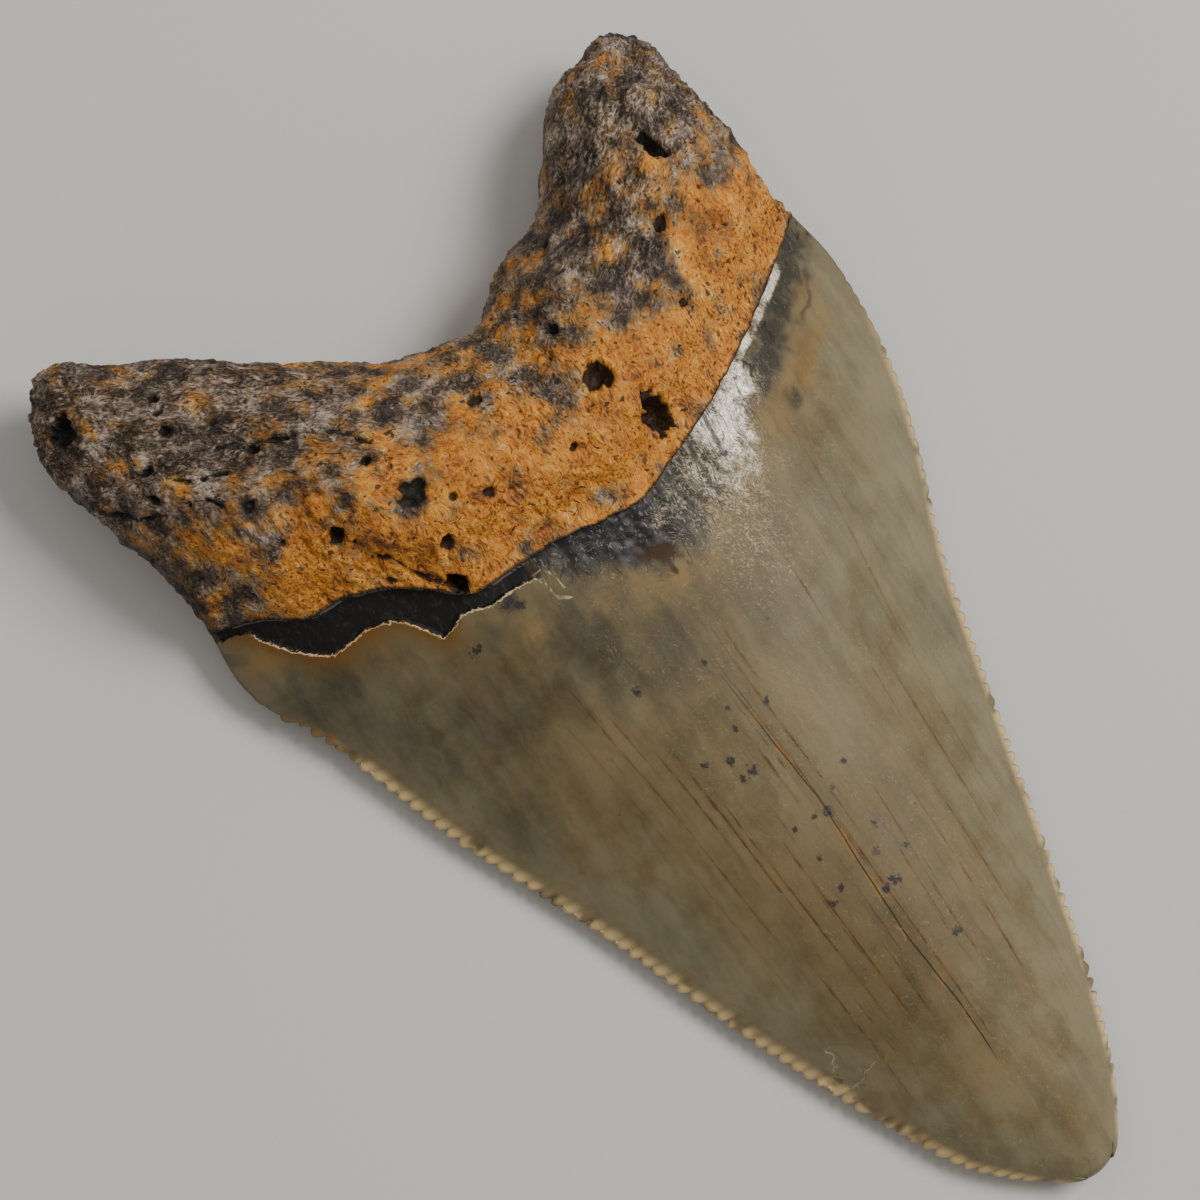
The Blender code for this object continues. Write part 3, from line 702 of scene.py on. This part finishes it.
turned = arm * (turn_left * LEFT_ARM + (1 - turn_left) * RIGHT_ARM) + (1 - arm) * math.pi / 2
shear = bone + 0.4 * fibre[:, None] * np.column_stack([np.cos(turned), np.sin(turned), np.zeros(len(bone))])
bent = points.copy()
for axis in range(2):
    bent[:, axis] += 0.3 * grain(level(place, 20 + axis), 0.8) + 0.1 * grain(level(place, 24 + axis), 0.35)
wobble = grain(level(place, 3), (3.0, 12.0, 12.0)) * 0.4
loose = layered(level(place, 6), (1.2, 2.6, 2.6), 41)
under_chip = np.exp(np.minimum(in_band, 0) / 1.3) * smooth_step((OCHRE_END - x) / 2.5) * crown
strip_ends = smooth_step((x - STRIP_FROM) / 2) * smooth_step((STRIP_TO - x) / 1.4)
strip = strip_ends * smooth_step((from_gum + STRIP_WIDTH) / 0.3)
layers = {name: stain(blobs) for name, blobs in STAINS.items()}
# The painted sheen runs on as a thin strip along the gum line.
layers["painted_sheen"] = np.maximum(layers["painted_sheen"], (0.72 + 0.7 * loose) * strip * crown)
layers.update({
    "rise": t, "lane": (x - 1) / (0.72 + 0.4 * t) + wobble, "from_gum": from_gum, "in_band": in_band,
    "loose": loose, "cloud": layered(level(place, 1), 5.0, 43),
    "small_cloud": layered(level(place, 2), 1.7, 47), "from_edge": from_edge, "bead": bead * worn,
    "groove": groove, "from_crack": from_crack, "crack_strength": read(CRACK_STRENGTH, y),
    "cavity": cavity, "off_root_crack": off_root_crack, "off_border": off_lines([STAIN_BORDER]),
    "off_crease": off_lines(CREASES), "off_fork": off_lines(FORK),
    "left_arm": only(bony, arm * turn_left), "right_arm": only(bony, arm * (1 - turn_left)),
    "patches": only(bony, layered(shear, 1.7, 31)), "tint": only(bony, layered(bone, 1.5, 37)),
    "flake": flake, "upper": upper * 1.0, "broken": broken,
    "chipped": chipped * np.exp(-from_edge / 0.9), "under_chip": under_chip,
    "lobe": smooth_step((t - 1.15) / 0.5) * smooth_step((np.abs(x) - 6) / 9),
})
skin.verts.index_update()
for face in skin.faces:
    face.material_index = int(sum(t[vert.index] for vert in face.verts) > len(face.verts))
mesh = bpy.data.meshes.new("fossil_tooth_skin")
skin.to_mesh(mesh)
skin.free()
mesh.shade_smooth()
for name, values in layers.items():
    mesh.attributes.new(name, "FLOAT", "POINT").data.foreach_set("value", np.ascontiguousarray(values, float))
mesh.attributes.new("bent", "FLOAT_VECTOR", "POINT").data.foreach_set("vector", (bent * MM).ravel())
tooth = bpy.data.objects.new("fossil_tooth_skin", mesh)
bpy.context.collection.objects.link(tooth)
print(len(layers), "layers on", len(mesh.vertices), "points")

# %% [markdown]
# Shader maths is easier to read as sums than as boxes and wires. This small class wraps the output of
# a node, so that adding or multiplying two of them adds a Math node. One helper makes any other node,
# with inputs that may be numbers or links. Patterns are read at the bent places, and a list of masks
# and colours is painted over a colour coat by coat.

# %% Shader maths
SEED_STEP = 0.01  # how far apart, in metres, two seeds read the noise


def start_material(name):
    """An empty material; the nodes made next go into it."""
    made = bpy.data.materials.new(name)
    made.use_nodes = True
    made.node_tree.nodes.clear()
    mesh.materials.append(made)
    return made.node_tree


def set_stops(ramp, stops):
    """Give a colour ramp its stops; the first is at 0 and the last at 1."""
    for place_on_ramp, colour in stops[1:-1]:
        ramp.elements.new(place_on_ramp)
    for element, (place_on_ramp, colour) in zip(ramp.elements, stops):
        element.color = (*colour, 1)


def node(kind, inputs, output=0, stops=None, **settings):
    """Make a node and return one of its outputs; inputs go by name or by number."""
    made = tree.nodes.new(kind)
    for name, value in settings.items():
        setattr(made, name, value)
    if stops:
        set_stops(made.color_ramp, stops)
    for name, value in inputs.items():
        if isinstance(value, Shade):
            tree.links.new(value.socket, made.inputs[name])
        else:
            made.inputs[name].default_value = value
    return Shade(made.outputs[output]) if made.outputs else None


class Shade:
    """A value in the material that can be calculated with."""

    def __init__(self, socket):
        self.socket = socket

    def maths(self, operation, other=0.0, swapped=False):
        pair = (other, self) if swapped else (self, other)
        return node("ShaderNodeMath", {0: pair[0], 1: pair[1]}, operation=operation)

    def __add__(self, other):
        return self.maths("ADD", other)

    __radd__ = __add__

    def __sub__(self, other):
        return self.maths("SUBTRACT", other)

    def __rsub__(self, other):
        return self.maths("SUBTRACT", other, swapped=True)

    def __mul__(self, other):
        return self.maths("MULTIPLY", other)

    __rmul__ = __mul__

    def __truediv__(self, other):
        return self.maths("DIVIDE", other)

    def __abs__(self):
        return self.maths("ABSOLUTE")


def layer(name):
    return node("ShaderNodeAttribute", {}, "Fac", attribute_name=name)


def ramp(value, low, high):
    """0 below low and 1 above high, with a soft change between; low may be the larger one."""
    limits = {"Value": value, "From Min": low, "From Max": high}
    return node("ShaderNodeMapRange", limits, interpolation_type="SMOOTHSTEP")


def tone(value, stops):
    return node("ShaderNodeValToRGB", {"Fac": value}, "Color", stops)


def mix(mask, first, second):
    """The first colour where the mask is 0, the second where it is 1."""
    inputs = {0: mask}
    for place_in_node, colour in ((6, first), (7, second)):
        inputs[place_in_node] = colour if isinstance(colour, Shade) else (*colour, 1.0)
    return node("ShaderNodeMix", inputs, 2, data_type="RGBA")


def paint(colour, coats):
    """Lay coats over a colour, each one a mask and a colour."""
    for mask, coat in coats:
        colour = mix(mask, colour, coat)
    return colour


def mottle(size, detail=3.0, roughness=0.55, seed=0.0, turn=0.0):
    """Noise between 0 and 1 with features about size mm across; size may be one number per axis."""
    each = tuple(np.broadcast_to(np.array(size, float), 3) * MM)
    bent_place = node("ShaderNodeAttribute", {}, "Vector", attribute_name="bent")
    placed = {"Vector": bent_place, "Location": (seed * SEED_STEP,) * 3}
    placed.update({"Rotation": (0, 0, turn), "Scale": each})
    where = node("ShaderNodeMapping", placed, vector_type="TEXTURE")
    kind = {"Vector": where, "Scale": 1.0, "Detail": detail, "Roughness": roughness}
    return node("ShaderNodeTexNoise", kind)


tree = start_material("fossil_enamel")
print("a mask from two shades:", (1 - layer("upper") * 0.5).socket.node.operation)

# %% [markdown]
# The enamel is grey-green on the shoulders, warmer in the middle and paler towards the right. The
# stains first change two numbers, how light the enamel is and how cool, and painted light lifts the
# first near the edges. Ramps turn the first into a warm and a cool colour, and the second mixes these.
# The stronger stains are then painted over them.

# %% Colour of the enamel
WARM_TONES = [(0, (0.04, 0.031, 0.016)), (0.25, (0.085, 0.065, 0.031)), (0.5, (0.165, 0.122, 0.056)),
              (0.75, (0.25, 0.19, 0.094)), (1, (0.35, 0.28, 0.16))]
COOL_TONES = [(0, (0.034, 0.032, 0.02)), (0.25, (0.078, 0.069, 0.04)), (0.5, (0.154, 0.134, 0.077)),
              (0.75, (0.24, 0.208, 0.122)), (1, (0.335, 0.3, 0.19))]
BROWN_ENAMEL = (0.15, 0.098, 0.042)
OCHRE_ENAMEL = (0.24, 0.125, 0.03)
OCHRE_PALE = (0.25, 0.155, 0.05)
DEEP_OCHRE = (0.15, 0.062, 0.004)
MARGIN = (0.12, 0.112, 0.082)
BLUE_GREY = (0.034, 0.03, 0.022)

rise, from_rim, lane, on_top = (layer(name) for name in ("rise", "from_edge", "lane", "upper"))
pale, grey, brown = (layer(name) for name in ("pale", "grey", "brown"))
cloud, small_cloud, under_gum = (layer(name) for name in ("cloud", "small_cloud", "in_band"))
grained = mottle((0.9, 9, 9), 2, 0.6, 3)
fine = mottle((0.3, 0.6, 0.6), 2, 0.65)
uneven = cloud * 0.2 + small_cloud * 0.15 + (fine - 0.5) * 0.35 + (grained - 0.5) * 0.7
clouded = small_cloud + (fine - 0.5)
beside_edge = ramp(from_rim, 7, 0.5)
# beside_edge * 0.1 is painted light: it lifts the enamel near the edges.
lightness = 0.5 + pale * 0.13 - grey * 0.34 - brown * 0.08 + uneven * 0.6 + beside_edge * 0.1
cool = pale * 0.9 + grey * 0.5 + beside_edge * 0.7 - brown * 0.5 + small_cloud * 0.5
enamel = mix(ramp(cool, -0.1, 1), tone(lightness, WARM_TONES), tone(lightness, COOL_TONES))
bordered = ramp(layer("off_border"), 0.26, 0.04) * ramp(clouded, -0.7, -0.1) * on_top
ochre = mix(ramp(clouded, -0.3, 0.3), OCHRE_ENAMEL, OCHRE_PALE)
enamel = paint(enamel, [
    (ramp(brown + uneven, 0.1, 1) * 0.45, BROWN_ENAMEL),
    (ramp(layer("ochre") + uneven * 1.2, 0.15, 1.1) * 0.8, ochre),
    (ramp(layer("under_chip") + uneven, 0.1, 1) * 0.9, DEEP_OCHRE),
    (ramp(from_rim, 1.5, 0.3) * ramp(rise, 0.84, 0.93) * 0.6, MARGIN),
    (ramp(layer("dark") + uneven * 0.6, 0.1, 0.9) * 0.94, BLUE_GREY),
    (bordered * 0.6, BLUE_GREY)])
print("the enamel has", len(tree.nodes), "nodes so far")

# %% [markdown]
# Hair cracks run down the crown. Dividing the crown into lanes and drawing one thin line in each gives
# a set of them; three random numbers per lane decide where its line runs, where its middle is and how
# long it is. Sets of different spacing look natural together, and noise makes the lines tremble and
# fade. The dark specks are placed one by one, and noise breaks up their edges.

# %% Cracks and specks
CRACK_BROWN = (0.05, 0.026, 0.008)
CRACK_OCHRE = (0.3, 0.15, 0.03)
HAIR_STAIN = (0.155, 0.078, 0.018)
SPECK = (0.016, 0.015, 0.021)
SCRATCH = (0.42, 0.36, 0.24)
LOWEST_HAIR = -26.0  # Y of the lowest middle of a hair crack
HAIR_SPREAD = 34.0  # how far up from there the middles lie
SPECK_REACH = 1.25  # how far noise may push a speck's edge, in radii

object_place = node("ShaderNodeTexCoord", {}, "Object")
place_up = node("ShaderNodeSeparateXYZ", {0: object_place}, "Y")
trembling = (mottle((0.35, 0.8, 0.8), 0, 0.5, 14) - 0.5) * 0.16
interrupted = ramp(mottle((0.5, 1.7, 1.7), 2, 0.65, 9), 0.34, 0.6)


def hair_cracks(spacing, width, longest, seed):
    """Thin lines along the crown, one in each lane, and the stain beside them."""
    along_lanes = lane / spacing + seed
    number = along_lanes.maths("FLOOR")
    lots = node("ShaderNodeTexWhiteNoise", {"W": number}, "Color", noise_dimensions="1D")
    across, middle, length = (node("ShaderNodeSeparateXYZ", {0: lots}, axis) for axis in "XYZ")
    off = abs(along_lanes - number - (0.2 + 0.6 * across)) * spacing + trembling
    from_middle = abs(place_up / MM - LOWEST_HAIR - middle * HAIR_SPREAD) - length * longest
    strength = ramp(from_middle, 0, -4) * (0.35 + 0.65 * length)
    return ramp(off, width, width * 0.3) * strength, ramp(off, width * 4, 0) * strength


down = ramp(rise, 0.1, 0.22) * ramp(under_gum, -0.1, -1.5) * on_top
middle_part = ramp(abs(lane - 1), 12, 6) * down
line_1, stain_1 = hair_cracks(0.9, 0.06, 9, 3.1)
line_2, stain_2 = hair_cracks(1.5, 0.075, 12, 8.7)
line_3 = hair_cracks(0.6, 0.05, 5, 5.3)[0]
hairs = line_1.maths("MAXIMUM", line_2).maths("MAXIMUM", line_3 * 0.8) * middle_part * (0.25 + interrupted)
hair_stain = stain_1.maths("MAXIMUM", stain_2) * middle_part * ramp(small_cloud, -0.35, 0.15)
off_crack = abs(layer("from_crack"))
crack_here = layer("crack_strength") * on_top
beside_crack = ramp(off_crack, 0.26, 0.03) * crack_here * ramp(clouded, -0.15, 0.3)
long_crack = ramp(off_crack, 0.03 + 0.045 * crack_here, 0.01) * ramp(crack_here, 0.15, 0.9)
seen_flat = node("ShaderNodeVectorMath", {0: object_place, 1: (1, 1, 0)}, "Vector", operation="MULTIPLY")
near_speck = 0.0 * place_up
for speck_x, speck_y, radius in SPECKS:
    ends = {0: seen_flat, 1: (speck_x * MM, speck_y * MM, 0)}
    away = node("ShaderNodeVectorMath", ends, "Value", operation="DISTANCE")
    near_speck = near_speck.maths("MAXIMUM", 1 - away / (SPECK_REACH * radius * MM))
blotches = mottle((0.25, 0.38, 0.38), 2, 0.65, 7)
speckled = ramp(near_speck + (blotches - 0.5) * 3, 0.2, 0.85) * ramp(near_speck, 0, 0.25) * on_top
stray = ramp(mottle(0.9, 1, 0.5, 21), 0.79, 0.83) * down
scratched = ramp(mottle((2.6, 0.12, 0.12), 1, 0.5, 31, 0.9), 0.74, 0.8)
enamel = paint(enamel, [
    (hair_stain * 0.75, HAIR_STAIN), (hairs * 0.72, CRACK_BROWN),
    (beside_crack * 0.75, CRACK_OCHRE), (long_crack * 0.95, CRACK_BROWN),
    (speckled.maths("MAXIMUM", stray * 0.5) * 0.88, SPECK),
    (scratched * down * ramp(lane, -6, 4) * 0.22, SCRATCH)])
print("cracks and specks bring it to", len(tree.nodes), "nodes")

# %% [markdown]
# The beads of the cutting edge have worn to a warm cream, with ochre in the gaps between them. The
# flake near the left edge shows paler enamel.

# %% Colour of the cutting edge
GAP = (0.085, 0.045, 0.012)
EDGE_TINT = (0.23, 0.155, 0.06)
CREAM = (0.72, 0.53, 0.25)

creamy = ramp(from_rim, 0.9, 0.15) * (0.55 + 0.45 * layer("bead")) * ramp(small_cloud, -0.55, 0)
flake_rim = ramp(abs(layer("flake") - 0.5), 0.35, 0.05) * ramp(small_cloud, -0.1, 0.2)
enamel = paint(enamel, [
    (ramp(from_rim, 1.6, 0.2) * 0.3, EDGE_TINT),
    (layer("groove") * ramp(from_rim, 1.2, 0.5) * ramp(from_rim, 0, 0.3) * 0.7, GAP),
    (creamy * ramp(rise, 0.9, 0.8) * 0.9, CREAM),
    (ramp(layer("chipped") + (fine - 0.5), 0.35, 0.7) * 0.7, OCHRE_ENAMEL),
    (flake_rim * 0.6, SCRATCH)])
print("the edge is done at", len(tree.nodes), "nodes")

# %% [markdown]
# The band is almost black where the enamel broke away. Where it is whole it is dark, with grey
# wrinkles and a silvery sheen that fades into the crown, crossed by black creases, and it has one spot
# of rust. The sheen and the grey of the wrinkles are partly the band's own gloss and partly painted
# highlight. The broken enamel ends in a thin pale rim, and a pale forked scratch starts where the rim ends.

# %% Colour of the band
BAND_BLACK = (0.004, 0.004, 0.004)
BAND_DUST = (0.03, 0.025, 0.017)
SILVER_HIGHLIGHT = (0.9, 0.8, 0.69)
GOLDEN_GLINT = (0.47, 0.37, 0.24)
STEEL_GLINT = (0.13, 0.115, 0.105)
RUST_BROWN = (0.05, 0.023, 0.01)
RIM = (0.7, 0.54, 0.32)
THREAD = (0.3, 0.25, 0.24)

broken_here = layer("broken") * on_top
whole = (1 - layer("broken")) * on_top
off_gum, looseness = layer("from_gum"), layer("loose")
chip_edge = under_gum + (mottle(0.22, 1, 0.6, 44) - 0.5) * 0.3
chip_mask = ramp(chip_edge, 0, 0.08) * broken_here
brushed = mottle((0.09, 0.2, 0.2), 1, 0.6, 12, 0.3)
streaky = mottle((0.5, 3.5, 3.5), 2, 0.6, 6)
smoky = mottle((0.5, 1.2, 1.2), 3, 0.7, 26, 0.6)
to_right = ramp(lane, 0, 6)
far_right = ramp(lane, 8.5, 11.5)
in_dark = under_gum + looseness + (streaky - 0.5) * 1.2
dark_band = ramp(in_dark, -0.5, 1.3 + 0.8 * far_right) * whole * (1 - 0.45 * far_right)
# The grey wrinkles, more of them towards the right, are partly painted glints on the band's dark gloss.
wrinkled = ramp(smoky * 0.7 + 0.15 + (brushed - 0.5) * 1.5 + to_right * 0.12, 0.56, 0.88)
# Painted highlight: the silver and golden glints in the colour stand for the lamp's reflection on the band's
# gloss; Metallic follows the same mask.
painted_shine = layer("painted_sheen") + (streaky - 0.5) * 0.5 + (smoky - 0.5) * 0.7
silver_highlight = ramp(painted_shine + (brushed - 0.5) * 1.7, 0.12, 1.25) * whole
crease_lines = mottle((0.7, 5, 5), 1, 0.5, 18, -0.25)
creases = ramp(abs(crease_lines - 0.5), 0.018, 0.004) * ramp(under_gum, -0.4, 0.6)
creases = creases.maths("MAXIMUM", ramp(layer("off_crease") + (fine - 0.5) * 0.15, 0.26, 0.06)) * whole
forked = ramp(layer("off_fork") + (fine - 0.5) * 0.1, 0.07, 0.01) * on_top
rusty = ramp(layer("rust") + uneven * 0.9 + (brushed - 0.5) * 0.9, 0.2, 0.9)
rim_width = 0.025 + 0.05 * ramp(looseness + (brushed - 0.5), -0.3, 0.4)
rim = ramp(abs(chip_edge + 0.03), rim_width, 0.01) * ramp(off_gum, -0.62, -0.92)
gum_thread = ramp(abs(off_gum + 0.1), 0.08, 0.02) * ramp(looseness + (brushed - 0.5) * 1.6, 0, 0.25)
enamel = paint(enamel, [
    (dark_band * (1 - 0.25 * to_right), mix(wrinkled * (1 - 0.85 * far_right), BAND_BLACK, STEEL_GLINT)),
    (silver_highlight, mix(ramp(painted_shine, 0.45, 0.95), GOLDEN_GLINT, SILVER_HIGHLIGHT)),
    (creases * 0.8, BAND_BLACK), (forked * 0.65, RIM), (rusty * 0.95, RUST_BROWN),
    (chip_mask, mix(ramp(fine, 0.5, 0.75), BAND_BLACK, BAND_DUST)),
    (rim * broken_here * 0.9, RIM), (gum_thread * broken_here * 0.5, THREAD)])
print("the band is done at", len(tree.nodes), "nodes")

# %% [markdown]
# Enamel shines. Its roughness follows the same masks as its colour, and a faint bump adds the grain
# that is too small for the mesh. The height of the bump is in millimetres. One function ends both
# materials.

# %% Surface of the enamel
def finish_material(colour, roughness, bump, strength, **more):
    """End the material; further inputs are written with _ for a space."""
    bumped = node("ShaderNodeBump", {"Strength": strength, "Distance": MM, "Height": bump})
    more = {name.replace("_", " "): value for name, value in more.items()}
    inputs = {"Base Color": colour, "Roughness": roughness, "Normal": bumped, **more}
    node("ShaderNodeOutputMaterial", {"Surface": node("ShaderNodeBsdfPrincipled", inputs)})


roughness = 0.47 + 0.1 * small_cloud + 0.1 * fine + chip_mask * 0.15 + rusty * 0.2
bump = 0.01 * fine - 0.04 * long_crack + ramp(layer("painted_sheen"), 0.1, 0.6) * brushed * 0.05
finish_material(enamel, roughness, bump, 1, Specular_IOR_Level=0.33, Metallic=silver_highlight * 0.55,
                Coat_Weight=dark_band * (1 - rusty) * 0.1, Coat_Roughness=0.3)
print("the enamel's material has", len(tree.nodes), "nodes")

# %% [markdown]
# The root is orange bone under a dark crust, with brown-stained bone where the two meet. The crust is
# thick on the lobes and thin near the gum line, and its border is ragged at every scale. All three are
# full of short dark and light streaks that follow the fibres, so the streak noise is made for each of
# the three fibre directions and mixed; the lightest streaks are partly painted glints. Painted shade
# darkens the rims of the lobes and the lower left rim of the root.

# %% Colour of the bone
BONE_TONES = [(0, (0.03, 0.012, 0.004)), (0.3, (0.25, 0.078, 0.01)), (0.5, (0.54, 0.185, 0.018)),
              (0.72, (0.68, 0.295, 0.036)), (1, (0.81, 0.52, 0.19))]
STAINED_TONES = [(0, (0.02, 0.01, 0.004)), (0.3, (0.1, 0.05, 0.013)), (0.5, (0.27, 0.136, 0.036)),
                 (0.72, (0.4, 0.23, 0.08)), (1, (0.6, 0.44, 0.25))]
CRUST_AND_GLINT_TONES = [(0, (0.004, 0.003, 0.002)), (0.3, (0.026, 0.017, 0.011)), (0.5, (0.116, 0.082, 0.056)),
               (0.72, (0.254, 0.2, 0.158)), (1, (0.48, 0.405, 0.35))]
CRUST_BLACK = (0.018, 0.014, 0.014)
CRUST_BLUE = (0.15, 0.13, 0.135)
HOLE_AND_SHADE = (0.004, 0.003, 0.002)

tree = start_material("fossil_bone")


def streaks(long, short, detail, seed):
    """Noise drawn out along the bone's fibres, which turn from one arm to the other."""
    turns = (math.pi / 2, LEFT_ARM, RIGHT_ARM)
    middle, left, right = (mottle((long, short, short), detail, 0.6, seed, turn) for turn in turns)
    return middle + (left - middle) * layer("left_arm") + (right - middle) * layer("right_arm")


rise, from_rim, patches, tint = (layer(name) for name in ("rise", "from_edge", "patches", "tint"))
threads = streaks(0.32, 0.14, 1, 0)
dashes = ramp(streaks(0.45, 0.16, 0, 21), 0.36, 0.27)
flecks = mottle(0.36, 3, 0.75, 5)
crumbs = mottle(0.9, 3, 0.75, 51)
# Painted shade: the rims of the lobes are darkened.
lobe_rim_shade = ramp(from_rim, 3, 0.5) * ramp(rise, 1.2, 1.5)
# root_dark and root_bright carry painted shade and painted light as well as the crust's own border.
spread = layer("root_dark") * 0.42 - layer("root_bright") * 0.5 + layer("lobe") * 0.26 + lobe_rim_shade * 0.25
spread = spread + ramp(rise, 1.05, 1.9) * 0.2 + patches * 0.8 + (flecks - 0.5) * 1.7
# The light streaks that contrast lifts to the palest crust tone are partly painted glints.
contrast = (threads - 0.5) * (0.3 + 1.3 * crumbs) + (flecks - 0.5) + (crumbs - 0.5) * 0.5
bone = tone(0.55 + contrast * 0.9 + tint * 0.2, BONE_TONES)
stained = tone(0.52 + contrast + tint * 0.3, STAINED_TONES)
crust = tone(0.49 + contrast * 1.25 + tint * 0.45 - lobe_rim_shade * 0.08, CRUST_AND_GLINT_TONES)
blue_crust = mix(ramp(contrast, 0, 0.35), CRUST_BLACK, CRUST_BLUE)
crust = mix(ramp(patches + contrast * 0.3, 0.1, 0.5) * 0.6, crust, blue_crust)
fissure = ramp(layer("off_root_crack") + (flecks - 0.5) * 0.5, 0.11, 0.02) * layer("upper")
pinpricks = ramp(mottle(0.42, 1, 0.5, 17), 0.66, 0.73).maths("MAXIMUM", dashes * 0.8)
# Painted shadow: the lower left rim of the root, near the gum line, is painted near black.
shaded_rim = ramp(from_rim + (flecks - 0.5) * 1.2, 1.1, 0.2) * ramp(layer("lane"), 0, -8)
bone = paint(bone, [
    (ramp(spread, -0.28, 0.24), stained),
    (ramp(spread, 0.06, 0.56) * 0.92, crust),
    (ramp(layer("cavity"), 0.13, 0.34) * 0.93, HOLE_AND_SHADE), (fissure * 0.9, HOLE_AND_SHADE), (pinpricks * 0.85, HOLE_AND_SHADE),
    (ramp(layer("from_gum") + (flecks - 0.5) * 0.3, 0.22, 0.04) * 0.9, HOLE_AND_SHADE),
    (shaded_rim * ramp(rise, 1.5, 1.3) * 0.75, HOLE_AND_SHADE)])
print("the bone's colour takes", len(tree.nodes), "nodes")

# %% [markdown]
# Bone is dull, and a bump from the same flecks as in its colour makes it rough.

# %% Surface of the bone
finish_material(bone, 0.5 + 0.3 * flecks, 0.2 * flecks, 0.9, Specular_IOR_Level=0.4)
print("the bone's material has", len(tree.nodes), "nodes")

# %% [markdown]
# A plain pale table, one large soft lamp from the upper right as the tooth is seen, a weak one from
# above, and a grey room give studio light.

# %% Table and light
FLOOR_SIZE = 3.0
FLOOR_COLOUR = (0.62, 0.61, 0.59, 1)
FLOOR_ROUGHNESS = 0.7
KEY_FROM = Vector((0.54, -0.05, 0.84))
LAMP_DISTANCE = 0.42
LAMP_COLOUR = (1.0, 0.98, 0.94)
ROOM_COLOUR = (1.0, 0.97, 0.93, 1)
ROOM_STRENGTH = 0.3
FLOOR_GAP = 0.00002

table_mesh = bpy.data.meshes.new("table")
sheet = bmesh.new()
bmesh.ops.create_grid(sheet, x_segments=1, y_segments=1, size=FLOOR_SIZE / 2)
sheet.to_mesh(table_mesh)
sheet.free()
table = bpy.data.objects.new("table", table_mesh)
table.location.z = -FLOOR_GAP
bpy.context.collection.objects.link(table)
plain = bpy.data.materials.new("plain_table")
plain.use_nodes = True
plain_inputs = plain.node_tree.nodes["Principled BSDF"].inputs
plain_inputs["Base Color"].default_value = FLOOR_COLOUR
plain_inputs["Roughness"].default_value = FLOOR_ROUGHNESS
table_mesh.materials.append(plain)


def lamp(name, direction, size, power):
    """A square lamp at a distance in a direction, turned to the tooth."""
    light = bpy.data.lights.new(name, "AREA")
    light.size, light.energy = size, power
    light.color = LAMP_COLOUR
    holder = bpy.data.objects.new(name, light)
    holder.location = direction.normalized() * LAMP_DISTANCE
    holder.rotation_euler = direction.to_track_quat("Z", "Y").to_euler()
    bpy.context.collection.objects.link(holder)
    return holder


lamp("key", KEY_FROM, 0.2, 1.45)
lamp("fill", Vector((-0.3, 0.4, 1.0)), 0.4, 0.3)
world = bpy.data.worlds.new("room")
world.use_nodes = True
room = world.node_tree.nodes["Background"].inputs
room["Color"].default_value = ROOM_COLOUR
room["Strength"].default_value = ROOM_STRENGTH
bpy.context.scene.world = world

# %% [markdown]
# The camera looks down on the tooth, a little from its left, and is rolled so that the tip points to
# the lower right of the picture.

# %% Camera
AIM = Vector((-1.8, 7.6, 5.0)) * MM
CAMERA_DISTANCE = 0.191
LENS_LENGTH = 100
NEAREST_SEEN = 0.01
CAMERA_TILT = math.radians(12)
CAMERA_ROLL = math.radians(37)

flat_right = Vector((math.cos(CAMERA_TILT), 0, math.sin(CAMERA_TILT)))
flat_up = Vector((0, 1, 0))
backward = flat_right.cross(flat_up)
right = math.cos(CAMERA_ROLL) * flat_right - math.sin(CAMERA_ROLL) * flat_up
up = math.sin(CAMERA_ROLL) * flat_right + math.cos(CAMERA_ROLL) * flat_up
lens = bpy.data.cameras.new("camera")
lens.lens, lens.clip_start = LENS_LENGTH, NEAREST_SEEN
camera = bpy.data.objects.new("camera", lens)
facing = Matrix((right, up, backward)).transposed().to_4x4()
camera.matrix_world = Matrix.Translation(AIM + backward * CAMERA_DISTANCE) @ facing
bpy.context.collection.objects.link(camera)
bpy.context.scene.camera = camera
print("the camera stands at", [round(number, 3) for number in camera.location])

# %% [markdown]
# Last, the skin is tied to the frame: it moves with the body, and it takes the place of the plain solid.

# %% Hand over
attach(tooth, "root")
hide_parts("tooth")
